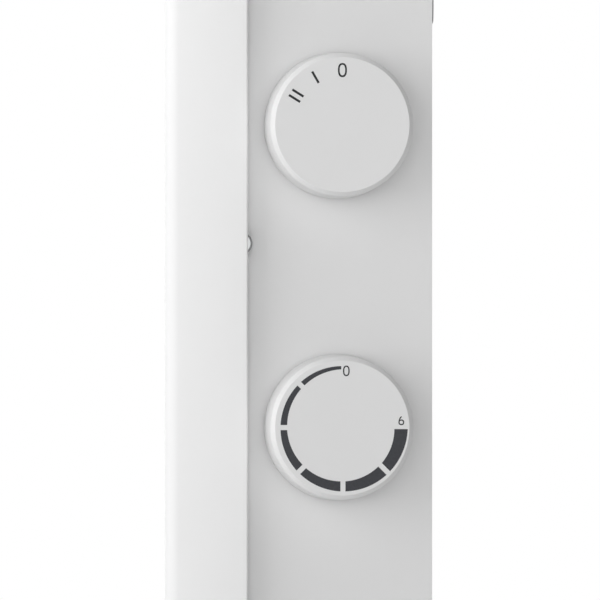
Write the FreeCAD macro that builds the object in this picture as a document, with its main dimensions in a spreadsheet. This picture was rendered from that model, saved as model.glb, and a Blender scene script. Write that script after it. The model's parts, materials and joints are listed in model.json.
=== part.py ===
import FreeCAD, Part
import os
import re

import Sketcher

# Wall-hung convector heater. Millimetres and degrees, Z up, the room on the -Y side,
# the wall plane at Y = 0 and the origin at the middle of the wall bracket's screw holes.

SIZES = {
    # front panel: a pressed lid with crowned flanges
    "panel_width": "460",
    "panel_height": "400",
    "panel_depth": "22.2",
    "panel_sheet": "0.8",
    "panel_crown": "3.5",
    "panel_bend": "5",
    "panel_corner": "4.8",
    "panel_proud": "6",
    "panel_lap": "12",
    "lip_clear": "0.2",
    "lip_notch_room": "0.6",
    # case behind the panel
    "case_depth": "49.15",
    "case_sheet": "0.8",
    "side_taper": "5.5",
    "seam": "0.05",
    "weld_flange": "12",
    "overcut": "1",
    # wall bracket and the way the heater hangs on it
    "hang_drop": "75.4",
    "bracket_width": "200",
    "bracket_height": "80",
    "bracket_sheet": "2",
    "bracket_corner": "6",
    "bracket_clear": "0.3",
    "wall_hole_radius": "2.75",
    "wall_hole_spread": "170",
    "wall_hole_rise": "50",
    "screw_head_room": "7",
    "hook_spread": "120",
    "hook_width": "20",
    "hook_throat": "2",
    "hook_rise": "8",
    "hook_seat": "0.2",
    "hook_side_room": "1",
    "lift_travel": "10",
    "pad_radius": "9",
    "pad_spread": "360",
    "pad_rise": "24",
    # air inlet slots in the bottom wall
    "inlet_slot_length": "30",
    "inlet_slot_width": "8",
    "inlet_slot_pitch": "38",
    "inlet_row_pitch": "13",
    "inlet_front": "7",
    # air outlet
    "outlet_width": "372",
    "outlet_height": "44",
    "outlet_rise": "146",
    "outlet_corner": "4",
    "grille_sheet": "1.4",
    "grille_lap": "6",
    "slat_depth": "10",
    "slat_tilt": "40",
    "deflector_rise": "44",
    "deflector_tilt": "52",
    # panel brackets and screws
    "clip_spread": "300",
    "clip_width": "24",
    "clip_depth": "9",
    "clip_sheet": "0.8",
    "clip_room": "0.15",
    "panel_screw_set": "4.5",
    "screw_head_radius": "3",
    "screw_head_height": "2.4",
    "screw_radius": "1.5",
    "screw_length": "8",
    "screw_room": "0.2",
    # screws of the side panels
    "side_screw_set": "2",
    "side_screw_rise": "15.2",
    "side_screw_pitch": "150",
    "angle_leg": "16",
    # control bay
    "control_bay": "46",
    "knob_set": "23.75",
    "control_rise": "6.4",
    "knob_pitch": "80.4",
    "shaft_radius": "3",
    "shaft_room": "0.08",
    "shaft_flat": "1.4",
    "shaft_tail": "10",
    "shaft_end_room": "0.3",
    "control_room": "1",
    "shaft_hole_radius": "4.2",
    "switch_width": "30",
    "switch_height": "36",
    "switch_depth": "24",
    "thermostat_width": "36",
    "thermostat_height": "36",
    "thermostat_depth": "20",
    "small_screw_spread": "26",
    "small_screw_radius": "1.5",
    "small_head_radius": "2.7",
    "small_head_height": "1.9",
    "small_screw_length": "7",
    "blade_length": "8",
    "blade_width": "6.3",
    "blade_sheet": "0.8",
    "blade_spread": "14",
    "blade_rise": "16",
    "feeler_radius": "3",
    "feeler_length": "46",
    "capillary_radius": "0.9",
    "capillary_length": "52",
    "feeler_clip_length": "14",
    "feeler_clip_wall": "2",
    # knobs
    "knob_radius": "19.5",
    "knob_top_radius": "19",
    "knob_face_radius": "17.9",
    "knob_chamfer": "1.3",
    "knob_height": "15",
    "knob_gap": "0.5",
    "knob_wall": "1.8",
    "hub_radius": "6",
    "hub_gap": "2",
    "hub_depth": "9",
    # heating elements
    "element_level": "62",
    "element_pitch": "44",
    "element_set": "31",
    "left_bay": "37.2",
    "element_gap": "12",
    "fin_reach": "20",
    "short_fin_reach": "13",
    "fin_sheet": "1.8",
    "hub_tube_radius": "7",
    "rod_radius": "4",
    "rod_room": "0.1",
    "rod_tail": "9",
    "pin_radius": "1.6",
    "pin_length": "11",
    "bush_radius": "6",
    "bush_length": "7",
    "collar_radius": "8.5",
    "collar_length": "2.5",
    "link_sheet": "1",
    "link_width": "9",
    "cutout_rise": "26",
    "cutout_radius": "8",
    "cutout_depth": "9",
    # heat shield
    "shield_sheet": "0.8",
    "shield_gap": "8",
    "shield_foot": "10",
    "shield_low": "34",
    "shield_high": "96",
    "shield_margin": "14",
    # terminal block, gland, grommet, earth stud and leads
    "block_width": "30",
    "block_height": "22",
    "block_depth": "15",
    "block_rise": "58",
    "block_inset": "8",
    "block_screw_radius": "2",
    "gland_radius": "6.4",
    "gland_bore_radius": "4",
    "gland_flange_radius": "9.5",
    "gland_flange_length": "4",
    "gland_nut_radius": "10",
    "gland_nut_length": "5",
    "gland_length": "24",
    "gland_set": "33",
    "grommet_radius": "6",
    "grommet_neck": "4.4",
    "grommet_side": "1.6",
    "lead_rise": "10",
    "lead_radius": "1.3",
    "lead_bend": "4",
    "lead_lane_room": "6",
    "lead_half_lane": "10",
    "lead_full_lane": "18",
    "lead_bay_room": "7",
    "lead_climb": "14",
    "stud_radius": "2",
    "stud_length": "12",
    "stud_rise": "14",
    "stud_nut_radius": "3.6",
    "stud_nut_length": "3",
}

document = FreeCAD.newDocument("convector_heater")
sheet = document.addObject("Spreadsheet::Sheet", "size")
for row, (alias, number) in enumerate(SIZES.items(), start=1):
    sheet.set(f"A{row}", alias)
    sheet.set(f"B{row}", number)
    sheet.setAlias(f"B{row}", alias)
document.recompute()

# Planes and lines that several pieces share, as formulas of the sheet's sizes
TAN = "tan(side_taper * 1deg)"
COS = "cos(side_taper * 1deg)"
SIN = "sin(side_taper * 1deg)"
BACK = "(-bracket_sheet - bracket_clear)"
BACK_INNER = f"({BACK} - case_sheet)"
REAR = f"({BACK} - case_depth)"
FRONT = f"({REAR} - panel_depth)"
CASE_FRONT = f"({REAR} - panel_lap)"
HALF_CASE = "(panel_height / 2 - panel_proud)"
TOP = "hang_drop"
MIDDLE = f"({TOP} - {HALF_CASE})"
BOTTOM = f"({MIDDLE} - {HALF_CASE})"
SIDE = "(panel_width / 2 - panel_proud)"
SKIN = f"(case_sheet / {COS})"
SIDE_LENGTH = f"(case_depth / {COS})"
LAP_LENGTH = f"(panel_lap / {COS})"
REAR_HALF = f"({SIDE} - case_depth * {TAN} - {SKIN} - seam)"
BAY = f"({SIDE} - control_bay)"
MODE_RISE = "(control_rise + knob_pitch / 2)"
THERMOSTAT_RISE = "(control_rise - knob_pitch / 2)"
ELEMENT_Y = f"({BACK_INNER} - element_set)"
LOWER_ELEMENT = f"({BOTTOM} + element_level)"
UPPER_ELEMENT = f"({LOWER_ELEMENT} + element_pitch)"
FINS_RIGHT = f"({BAY} - case_sheet - element_gap)"
LEFT_PLATE = f"(left_bay - {SIDE})"
FINS_LEFT = f"({LEFT_PLATE} + element_gap)"
ELEMENT_LENGTH = f"({FINS_RIGHT} - {FINS_LEFT})"
LINK_X = f"({LEFT_PLATE} - case_sheet - rod_tail - pin_length / 2)"

nodes = []


def formula(text):
    """The text with each size's name turned into a reference to its cell."""
    return re.sub(r"[a-z]+(_[a-z]+)*", lambda word: cell(word.group()), text)


def cell(word):
    return "size." + word if word in SIZES else word


def number(text):
    """The value of a formula of the sheet's sizes."""
    return float(sheet.evalExpression(formula(str(text))))


def bind(thing, name, text):
    thing.setExpression(name, formula(str(text)))


def place(thing, spot, turn=None):
    for axis, text in zip("xyz", spot):
        bind(thing, "Placement.Base." + axis, text)
    if turn is not None:
        bind(thing, "Placement.Rotation.Angle", turn)


def on_side(thing, along="0", rise="0", side=1):
    """Place a piece drawn with X square to a side panel, from a point of the panel's outer face."""
    spot_x = f"{side} * ({SIDE} - ({along}) * {SIN})"
    spot_y = f"{REAR} + ({along}) * {COS}"
    place(thing, (spot_x, spot_y, f"{MIDDLE} + {rise}"), f"{side} * side_taper")


def box(name, sides, corner):
    made = document.addObject("Part::Box", name)
    for side, text in zip(("Length", "Width", "Height"), sides):
        bind(made, side, text)
    place(made, corner)
    return made


TURNS = {
    "x": FreeCAD.Rotation(FreeCAD.Vector(0, 1, 0), 90),
    "y": FreeCAD.Rotation(FreeCAD.Vector(1, 0, 0), -90),
    "z": FreeCAD.Rotation(),
}


def rod(name, radius, length, start, along):
    made = document.addObject("Part::Cylinder", name)
    made.Placement = FreeCAD.Placement(FreeCAD.Vector(), TURNS[along])
    bind(made, "Radius", radius)
    bind(made, "Height", length)
    place(made, start)
    return made


def cone(name, first_radius, last_radius, length, start, along):
    made = document.addObject("Part::Cone", name)
    made.Placement = FreeCAD.Placement(FreeCAD.Vector(), TURNS[along])
    bind(made, "Radius1", first_radius)
    bind(made, "Radius2", last_radius)
    bind(made, "Height", length)
    place(made, start)
    return made


def join(name, pieces):
    made = document.addObject("Part::MultiFuse", name)
    made.Shapes = pieces
    return made


def gather(name, pieces):
    made = document.addObject("Part::Compound", name)
    made.Links = pieces
    return made


def cut(name, base, tools):
    made = document.addObject("Part::Cut", name)
    made.Base = base
    made.Tool = tools[0] if len(tools) == 1 else join(name + "_tools", tools)
    return made


def node(label, made):
    made.Label = label
    nodes.append(made)
    return made


def plane_of(body, role):
    return next(plane for plane in body.Origin.OriginFeatures if plane.Role == role)


def rounded_sketch(body, name, depth, width, height, corner):
    """A rounded rectangle on the body's XZ plane, moved towards the room by a depth."""
    sketch = body.newObject("Sketcher::SketchObject", name)
    sketch.AttachmentSupport = [(plane_of(body, "XZ_Plane"), "")]
    sketch.MapMode = "FlatFace"
    bind(sketch, "AttachmentOffset.Base.z", depth)
    half_x, half_y, turn = number(width) / 2, number(height) / 2, number(corner)
    flat_x, flat_y = half_x - turn, half_y - turn
    ends = [
        ((-flat_x, -half_y), (flat_x, -half_y)),
        ((half_x, -flat_y), (half_x, flat_y)),
        ((flat_x, half_y), (-flat_x, half_y)),
        ((-half_x, flat_y), (-half_x, -flat_y)),
    ]
    for first, last in ends:
        sketch.addGeometry(Part.LineSegment(FreeCAD.Vector(*first), FreeCAD.Vector(*last)))
    middles = [(flat_x, -flat_y), (flat_x, flat_y), (-flat_x, flat_y), (-flat_x, -flat_y)]
    quarter = number("pi / 2")
    for index, middle in enumerate(middles):
        circle = Part.Circle(FreeCAD.Vector(*middle), FreeCAD.Vector(0, 0, 1), turn)
        sketch.addGeometry(Part.ArcOfCircle(circle, (index - 1) * quarter, index * quarter))
    for line in range(4):
        sketch.addConstraint(Sketcher.Constraint("Tangent", line, 2, line + 4, 1))
        sketch.addConstraint(Sketcher.Constraint("Tangent", line + 4, 2, (line + 1) % 4, 1))
    for line, way in enumerate(("Horizontal", "Vertical", "Horizontal", "Vertical")):
        sketch.addConstraint(Sketcher.Constraint(way, line))
    for arc in (5, 6, 7):
        sketch.addConstraint(Sketcher.Constraint("Equal", 4, arc))
    sketch.addConstraint(Sketcher.Constraint("Symmetric", 0, 1, 2, 1, -1, 1))
    drive(sketch, "width", Sketcher.Constraint("DistanceX", 3, 1, 1, 1, 2 * half_x), width)
    drive(sketch, "height", Sketcher.Constraint("DistanceY", 0, 1, 2, 1, 2 * half_y), height)
    drive(sketch, "corner", Sketcher.Constraint("Radius", 4, turn), corner)
    return sketch


def drive(sketch, name, constraint, text):
    sketch.renameConstraint(sketch.addConstraint(constraint), name)
    bind(sketch, "Constraints." + name, text)


# Front panel: one flange profile, drawn outward from a corner's axis, turned for the corners
# and drawn along for the sides. The crown and the bend are tangent arcs, and the side flanges
# have lips that close the gap to the case.
CROWN_RADIUS = "((panel_depth * panel_depth + panel_crown * panel_crown) / (2 * panel_crown))"
BEND_RISE = "(panel_depth - panel_bend)"
BEND_REACH = f"sqrt(({CROWN_RADIUS} - panel_bend) ^ 2 - {BEND_RISE} ^ 2)"
CORNER = f"(panel_corner + {CROWN_RADIUS} - {BEND_REACH})"
CORNER_X = f"(panel_width / 2 - {CORNER})"
CORNER_Z = f"(panel_height / 2 - {CORNER})"


def flange_profile():
    sketch = document.addObject("Sketcher::SketchObject", "flange_profile")
    depth, thick, flat = number("panel_depth"), number("panel_sheet"), number("panel_corner")
    crown, bend = number(CROWN_RADIUS), number("panel_bend")
    crown_middle = FreeCAD.Vector(number(CORNER) - crown, 0)
    bend_middle = FreeCAD.Vector(flat, bend - depth)
    lowest = -number("pi / 2")
    meeting = -(bend_middle - crown_middle).getAngle(FreeCAD.Vector(1, 0, 0))

    def arc(middle, radius, first, last):
        return Part.ArcOfCircle(Part.Circle(middle, FreeCAD.Vector(0, 0, 1), radius), first, last)

    def line(first, last):
        return Part.LineSegment(FreeCAD.Vector(*first), FreeCAD.Vector(*last))

    for piece in (
        arc(crown_middle, crown, meeting, 0),
        arc(bend_middle, bend, lowest, meeting),
        line((flat, -depth), (0, -depth)),
        line((0, -depth), (0, thick - depth)),
        line((0, thick - depth), (flat, thick - depth)),
        arc(bend_middle, bend - thick, lowest, meeting),
        arc(crown_middle, crown - thick, meeting, 0),
        line((number(CORNER) - thick, 0), (number(CORNER), 0)),
    ):
        sketch.addGeometry(piece)
    for rule in (
        ("Tangent", 0, 1, 1, 2), ("Tangent", 1, 1, 2, 1), ("Tangent", 4, 2, 5, 1), ("Tangent", 5, 2, 6, 1),
        ("Coincident", 2, 2, 3, 1), ("Coincident", 3, 2, 4, 1),
        ("Coincident", 6, 2, 7, 1), ("Coincident", 7, 2, 0, 2),
        ("Horizontal", 2), ("Vertical", 3), ("Horizontal", 4), ("Horizontal", 7),
        ("Coincident", 5, 3, 1, 3), ("Coincident", 6, 3, 0, 3),
        ("PointOnObject", 0, 3, -1), ("PointOnObject", 0, 2, -1), ("PointOnObject", 2, 2, -2),
    ):
        sketch.addConstraint(Sketcher.Constraint(*rule))
    drive(sketch, "flat", Sketcher.Constraint("DistanceX", -1, 1, 2, 1, flat), "panel_corner")
    drive(sketch, "depth", Sketcher.Constraint("DistanceY", 2, 2, -1, 1, depth), "panel_depth")
    drive(sketch, "thick", Sketcher.Constraint("DistanceY", 3, 1, 3, 2, thick), "panel_sheet")
    drive(sketch, "crown", Sketcher.Constraint("Radius", 0, crown), CROWN_RADIUS)
    drive(sketch, "bend", Sketcher.Constraint("Radius", 1, bend), "panel_bend")
    return sketch


def quarter_turned(made, index, corner):
    """Hold a piece of the rim at one of the panel's corners, turned by quarters."""
    holder = gather(made.Name + "_place", [made])
    turn = FreeCAD.Rotation(FreeCAD.Vector(0, 1, 0), -90 * index)
    holder.Placement = FreeCAD.Placement(FreeCAD.Vector(), turn)
    side_x, side_z = corner
    place(holder, (f"{side_x} * {CORNER_X}", REAR, f"{MIDDLE} + {side_z} * {CORNER_Z}"))
    return holder


profile = flange_profile()
CORNERS = ((1, 1), (-1, 1), (-1, -1), (1, -1))
rim = []
for index, corner in enumerate(CORNERS):
    turned = document.addObject("Part::Revolution", f"panel_corner_{index}")
    turned.Source = profile
    turned.Axis = FreeCAD.Vector(0, -1, 0)
    turned.Angle = 90
    turned.Solid = True
    rim.append(quarter_turned(turned, index, corner))
    drawn = document.addObject("Part::Extrusion", f"panel_side_{index}")
    drawn.Base = profile
    drawn.DirMode = "Normal"
    drawn.Solid = True
    bind(drawn, "LengthFwd", f"2 * {CORNER_X}" if index % 2 else f"2 * {CORNER_Z}")
    rim.append(quarter_turned(drawn, index, CORNERS[index - 1]))
plate = box("panel_plate", (f"2 * {CORNER_X}", "panel_sheet", f"2 * {CORNER_Z}"),
            (f"-{CORNER_X}", FRONT, f"{MIDDLE} - {CORNER_Z}"))


def side_screw_rises():
    return [f"(side_screw_rise + {step} * side_screw_pitch)" for step in (-1, 0, 1)]


def side_lip(side):
    """The strip folded in from a side flange's rear edge, notched for the side panel's screw heads."""
    reach = "(panel_proud - lip_clear - panel_sheet / 2)"
    left = f"({SIDE} + lip_clear)" if side > 0 else "(panel_sheet / 2 - panel_width / 2)"
    strip = box(f"panel_lip_{side + 1}", (reach, "panel_sheet", f"2 * {CORNER_Z}"),
                (left, f"{REAR} - panel_sheet", f"{MIDDLE} - {CORNER_Z}"))
    notch_half = "(screw_head_radius + lip_notch_room)"
    notches = [
        box(f"lip_notch_{side + 1}_{index}",
            (f"{reach} + 2 * overcut", "panel_sheet + 2 * overcut", f"2 * {notch_half}"),
            (f"{left} - overcut", f"{REAR} - panel_sheet - overcut", f"{MIDDLE} + {rise} - {notch_half}"))
        for index, rise in enumerate(side_screw_rises())
    ]
    return cut(f"panel_lip_{side + 1}_notched", strip, notches)


pressed = join("panel_pressed", rim + [plate] + [side_lip(side) for side in (-1, 1)])
pressed.Refine = True
body = document.addObject("PartDesign::Body", "outlet_window_body")
place(body, ("0", "0", f"{MIDDLE} + outlet_rise"))
window = rounded_sketch(body, "outlet_window", f"-{FRONT} + panel_sheet", "outlet_width", "outlet_height",
                        "outlet_corner")
pad = body.newObject("PartDesign::Pad", "outlet_window_pad")
pad.Profile = window
pad.Reversed = True
bind(pad, "Length", "panel_sheet * 3")


def clip_spots():
    return [f"{side} * clip_spread / 2" for side in (-1, 1)]


PANEL_FLOOR = f"({MIDDLE} - panel_height / 2)"
SCREW_Y = f"({REAR} - panel_screw_set)"
holes = [
    rod(f"panel_screw_hole_{index}", "screw_radius + screw_room", "panel_proud",
        (spot, SCREW_Y, f"{PANEL_FLOOR} - overcut"), "z")
    for index, spot in enumerate(clip_spots())
]
node("front_panel", cut("front_panel_cut", pressed, [body] + holes))

# Outlet grille: a frame behind the panel's window with slats tilted to the room
GRILLE_Y = f"({FRONT} + panel_sheet)"
GRILLE_Z = f"({MIDDLE} + outlet_rise)"
frame_outer = box(
    "grille_frame_outer",
    ("outlet_width + 2 * grille_lap", "grille_sheet", "outlet_height + 2 * grille_lap"),
    ("-outlet_width / 2 - grille_lap", GRILLE_Y, f"{GRILLE_Z} - outlet_height / 2 - grille_lap"),
)
frame_inner = box(
    "grille_frame_inner",
    ("outlet_width - 2 * grille_sheet", "grille_sheet * 3", "outlet_height"),
    ("-outlet_width / 2 + grille_sheet", f"{GRILLE_Y} - grille_sheet", f"{GRILLE_Z} - outlet_height / 2"),
)
grille_pieces = [cut("grille_frame", frame_outer, [frame_inner])]
SLATS = 6
for index in range(SLATS):
    slat = document.addObject("Part::Box", f"slat_{index}")
    bind(slat, "Length", "outlet_width - grille_sheet")
    bind(slat, "Width", "slat_depth")
    bind(slat, "Height", "grille_sheet")
    slat.Placement = FreeCAD.Placement(FreeCAD.Vector(), FreeCAD.Rotation(FreeCAD.Vector(1, 0, 0), 1))
    level = f"{GRILLE_Z} - outlet_height / 2 + outlet_height * {index} / {SLATS} + grille_sheet"
    place(slat, ("-(outlet_width - grille_sheet) / 2", f"{GRILLE_Y} + grille_sheet", level), "slat_tilt")
    grille_pieces.append(slat)
for side in (-1, 1):
    grille_pieces.append(box(
        f"grille_end_{side + 1}",
        ("grille_sheet", "slat_depth", "outlet_height"),
        (f"{side} * (outlet_width / 2 - grille_sheet / 2) - grille_sheet / 2", GRILLE_Y,
         f"{GRILLE_Z} - outlet_height / 2"),
    ))
node("outlet_grille", join("outlet_grille_join", grille_pieces))

# Mode switch above, thermostat below: the name of each one's sizes and its height above the middle
CONTROLS = {
    "mode": ("switch", MODE_RISE),
    "thermostat": ("thermostat", THERMOSTAT_RISE),
}


def control_notches():
    """Room round each control, drawn square to the right side panel."""
    return [
        box(
            f"{name}_notch",
            ("4 * case_sheet", f"{kind}_width + 2 * control_room", f"{kind}_height + 2 * control_room"),
            ("-4 * case_sheet", f"knob_set - {kind}_width / 2 - control_room",
             f"{rise} - {kind}_height / 2 - control_room"),
        )
        for name, (kind, rise) in CONTROLS.items()
    ]


# Case walls: back, top and bottom sheets that narrow towards the wall, seam-welded at the corners
def half_width(depth):
    return f"({SIDE} - ({depth} - {REAR}) * {TAN} - {SKIN} - seam)"


def tapered_sheet(name, front, rear, low, high):
    wedge = document.addObject("Part::Wedge", name)
    for corner, text in {
        "Xmin": f"-{half_width(front)}", "Xmax": half_width(front),
        "X2min": f"-{half_width(rear)}", "X2max": half_width(rear),
        "Ymin": front, "Ymax": rear, "Zmin": low, "Zmax": high, "Z2min": low, "Z2max": high,
    }.items():
        bind(wedge, corner, text)
    return wedge


back_sheet = tapered_sheet("back_sheet", BACK_INNER, BACK, f"{BOTTOM} + case_sheet + seam",
                           f"{TOP} - case_sheet - seam")
bottom_sheet = tapered_sheet("bottom_sheet", CASE_FRONT, BACK, BOTTOM, f"({BOTTOM} + case_sheet)")
node("top_panel", tapered_sheet("top_sheet", CASE_FRONT, BACK, f"({TOP} - case_sheet)", TOP))

# Strips welded inside the rear corners, which the side panels lie against
INNER_HEIGHT = f"(2 * {HALF_CASE} - 2 * case_sheet - 2 * seam)"
strips = []
for side in (-1, 1):
    inner_edge = "-2 * case_sheet - seam" if side > 0 else "case_sheet + seam"
    strip = box(
        f"weld_flange_{side + 1}",
        ("case_sheet", f"weld_flange - (case_sheet + seam) / {COS} - 2 * case_sheet * {TAN}", INNER_HEIGHT),
        (inner_edge, f"{SIDE_LENGTH} - weld_flange", f"-{INNER_HEIGHT} / 2"),
    )
    if side > 0:
        strip = cut("weld_flange_notched", strip, control_notches())
    holder = gather(f"weld_flange_place_{side + 1}", [strip])
    on_side(holder, side=side)
    strips.append(holder)
node("side_flanges", gather("side_flanges_both", strips))

openings = []
for side in (-1, 1):
    openings.append(box(
        f"hook_slot_{side + 1}",
        ("hook_width + 2 * hook_side_room", "3 * case_sheet",
         "bracket_sheet + lift_travel + hook_seat + hook_side_room"),
        (f"{side} * hook_spread / 2 - hook_width / 2 - hook_side_room", f"{BACK} - 2 * case_sheet",
         "-bracket_sheet - lift_travel - hook_side_room"),
    ))
    for level in (-1, 1):
        openings.append(box(
            f"head_slot_{side + 1}_{level + 1}",
            ("2 * screw_head_room", "3 * case_sheet", "2 * screw_head_room + lift_travel"),
            (f"{side} * wall_hole_spread / 2 - screw_head_room", f"{BACK} - 2 * case_sheet",
             f"{level} * wall_hole_rise / 2 - screw_head_room - lift_travel"),
        ))
STUD_Z = f"({BOTTOM} + block_rise + block_height + stud_rise)"
STUD_X = f"({BAY} + block_inset + block_width / 2)"
openings.append(rod("stud_hole", "stud_radius + seam", "3 * case_sheet",
                    (STUD_X, f"{BACK} - 2 * case_sheet", STUD_Z), "y"))
node("back_panel", cut("back_panel_cut", back_sheet, openings))

openings = []
INLET_ROWS = 3
INLET_SLOTS = 9
INLET_MIDDLE = f"(({BAY} - {SIDE}) / 2)"
for row in range(INLET_ROWS):
    for slot in range(INLET_SLOTS):
        offset = slot - (INLET_SLOTS - 1) / 2
        openings.append(box(
            f"inlet_slot_{row}_{slot}",
            ("inlet_slot_length", "inlet_slot_width", "3 * case_sheet"),
            (f"{INLET_MIDDLE} + {offset} * inlet_slot_pitch - inlet_slot_length / 2",
             f"{REAR} + inlet_front + {row} * inlet_row_pitch", f"{BOTTOM} - case_sheet"),
        ))
GLAND_X = f"({BAY} + control_bay / 2)"
GLAND_Y = f"({BACK_INNER} - gland_set)"
openings.append(rod("gland_hole", "gland_radius + seam", "3 * case_sheet",
                    (GLAND_X, GLAND_Y, f"{BOTTOM} - case_sheet"), "z"))
for index, spot in enumerate(clip_spots()):
    openings.append(rod(f"clip_hole_{index}", "screw_radius + screw_room", "3 * case_sheet",
                        (spot, SCREW_Y, f"{BOTTOM} - case_sheet"), "z"))
node("bottom_panel", cut("bottom_panel_cut", bottom_sheet, openings))


# Side panels, each drawn flat with X square to the sheet and placed at the case's taper
def side_screw_holes(name):
    return [
        rod(f"{name}_screw_hole_{index}", "screw_radius + screw_room", "6 * case_sheet",
            ("-3 * case_sheet", "-side_screw_set", rise), "x")
        for index, rise in enumerate(side_screw_rises())
    ]


def side_plate(name, side):
    return box(
        name,
        ("case_sheet", f"{LAP_LENGTH} + {SIDE_LENGTH}", f"2 * {HALF_CASE}"),
        ("-case_sheet" if side > 0 else "0", f"-{LAP_LENGTH}", f"-{HALF_CASE}"),
    )


def small_screw_spots(rise):
    return [(f"{end} * small_screw_spread / 2", f"{rise}") for end in (-1, 1)]


holes = side_screw_holes("right")
for name, rise in (("mode", MODE_RISE), ("thermostat", THERMOSTAT_RISE)):
    holes.append(rod(f"{name}_shaft_hole", "shaft_hole_radius", "4 * case_sheet",
                     ("-2 * case_sheet", "knob_set", rise), "x"))
    for index, (along, level) in enumerate(small_screw_spots(rise)):
        holes.append(rod(f"{name}_fixing_hole_{index}", "small_screw_radius + screw_room", "4 * case_sheet",
                         ("-2 * case_sheet", f"knob_set + {along}", level), "x"))
panel = node("right_side_panel", cut("right_side_drilled", side_plate("right_side_sheet", 1), holes))
on_side(panel)
holes = side_screw_holes("left")
panel = node("left_side_panel", cut("left_side_drilled", side_plate("left_side_sheet", -1), holes))
on_side(panel, side=-1)


# Control shield and left angle: folded sheets that close the case's ends behind the panel
INNER_LOW = f"({BOTTOM} + case_sheet + seam)"
FOLD_Y = f"({CASE_FRONT} + case_sheet)"
FOLD_END = f"({SIDE} + (panel_lap - 2 * case_sheet) * {TAN} - {SKIN} - seam)"


def screw_flange(name, side):
    """The strip inside a side panel that takes the side screws."""
    inner_edge = "-2 * case_sheet - seam" if side > 0 else "case_sheet + seam"
    strip = box(
        f"{name}_strip",
        ("case_sheet", f"{LAP_LENGTH} + side_screw_set", INNER_HEIGHT),
        (inner_edge, f"-{LAP_LENGTH} + case_sheet * 1.2", f"-{INNER_HEIGHT} / 2"),
    )
    holes = side_screw_holes(name)
    holder = gather(f"{name}_place", [cut(f"{name}_drilled", strip, holes)])
    on_side(holder, side=side)
    return holder


shield_pieces = [
    screw_flange("shield_flange", 1),
    box("shield_wall", ("case_sheet", f"{BACK_INNER} - seam - {FOLD_Y}", INNER_HEIGHT),
        (f"{BAY} - case_sheet", FOLD_Y, INNER_LOW)),
    box("shield_front", (f"{FOLD_END} - {BAY} + case_sheet", "case_sheet", INNER_HEIGHT),
        (f"{BAY} - case_sheet", FOLD_Y, INNER_LOW)),
    box("shield_foot_flange", ("weld_flange", "case_sheet", INNER_HEIGHT),
        (f"{BAY} - weld_flange", f"{BACK_INNER} - seam - case_sheet", INNER_LOW)),
]
GROMMET_Z = f"({BOTTOM} + lead_rise)"
holes = [rod("grommet_hole", "grommet_neck + seam", "4 * case_sheet",
             (f"{BAY} - 2 * case_sheet", ELEMENT_Y, GROMMET_Z), "x")]
for index, level in enumerate((LOWER_ELEMENT, UPPER_ELEMENT)):
    holes.append(rod(f"shield_bush_hole_{index}", "bush_radius + rod_room", "4 * case_sheet",
                     (f"{BAY} - 2 * case_sheet", ELEMENT_Y, level), "x"))
node("control_shield", cut("control_shield_drilled", join("control_shield_folded", shield_pieces), holes))
angle_pieces = [
    screw_flange("angle_flange", -1),
    box("angle_front", ("angle_leg", "case_sheet", INNER_HEIGHT), (f"-{FOLD_END}", FOLD_Y, INNER_LOW)),
]
node("left_angle", join("left_angle_folded", angle_pieces))

# Screws of the side panels
heads = []
for side in (-1, 1):
    screws = []
    for index, rise in enumerate(side_screw_rises()):
        head_start = "0" if side > 0 else "-screw_head_height"
        shank_start = "-screw_length" if side > 0 else "0"
        head = rod(f"side_screw_head_{side + 1}_{index}", "screw_head_radius", "screw_head_height",
                   (head_start, "-side_screw_set", rise), "x")
        shank = rod(f"side_screw_shank_{side + 1}_{index}", "screw_radius", "screw_length",
                    (shank_start, "-side_screw_set", rise), "x")
        screws.append(join(f"side_screw_{side + 1}_{index}", [head, shank]))
    holder = gather(f"side_screws_{side + 1}", screws)
    on_side(holder, side=side)
    heads.append(holder)
node("side_screws", gather("side_screws_both", heads))

# Brackets between the case and the front panel's top and bottom flanges, and the two bottom screws
CLIP_ROOM = f"({CROWN_RADIUS} - sqrt({CROWN_RADIUS} ^ 2 - clip_depth ^ 2))"
CLIP_HEIGHT = f"(panel_proud - panel_sheet - {CLIP_ROOM} - clip_room - seam)"
clips = []
for index, spot in enumerate(clip_spots()):
    for level, low in (("top", f"{TOP} + seam"), ("bottom", f"{BOTTOM} - seam - {CLIP_HEIGHT}")):
        start_x = f"{spot} - clip_width / 2"
        start_y = f"{REAR} - clip_depth"
        name = f"clip_{level}_{index}"
        legs = [
            box(f"{name}_low", ("clip_width", "clip_depth", "clip_sheet"), (start_x, start_y, low)),
            box(f"{name}_high", ("clip_width", "clip_depth", "clip_sheet"),
                (start_x, start_y, f"{low} + {CLIP_HEIGHT} - clip_sheet")),
            box(f"{name}_web", ("clip_width", "clip_sheet", CLIP_HEIGHT), (start_x, start_y, low)),
        ]
        hole = rod(f"{name}_hole", "screw_radius + screw_room", f"{CLIP_HEIGHT} + 2 * overcut",
                   (spot, SCREW_Y, f"{low} - overcut"), "z")
        clips.append(cut(name, join(f"{name}_legs", legs), [hole]))
node("panel_brackets", gather("panel_brackets_all", clips))
screws = []
for index, spot in enumerate(clip_spots()):
    head = rod(f"panel_screw_head_{index}", "screw_head_radius", "screw_head_height",
               (spot, SCREW_Y, f"{PANEL_FLOOR} - screw_head_height"), "z")
    shank = rod(f"panel_screw_shank_{index}", "screw_radius", "panel_proud + screw_length",
                (spot, SCREW_Y, PANEL_FLOOR), "z")
    screws.append(join(f"panel_screw_{index}", [head, shank]))
node("panel_screws", gather("panel_screws_all", screws))

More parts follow.
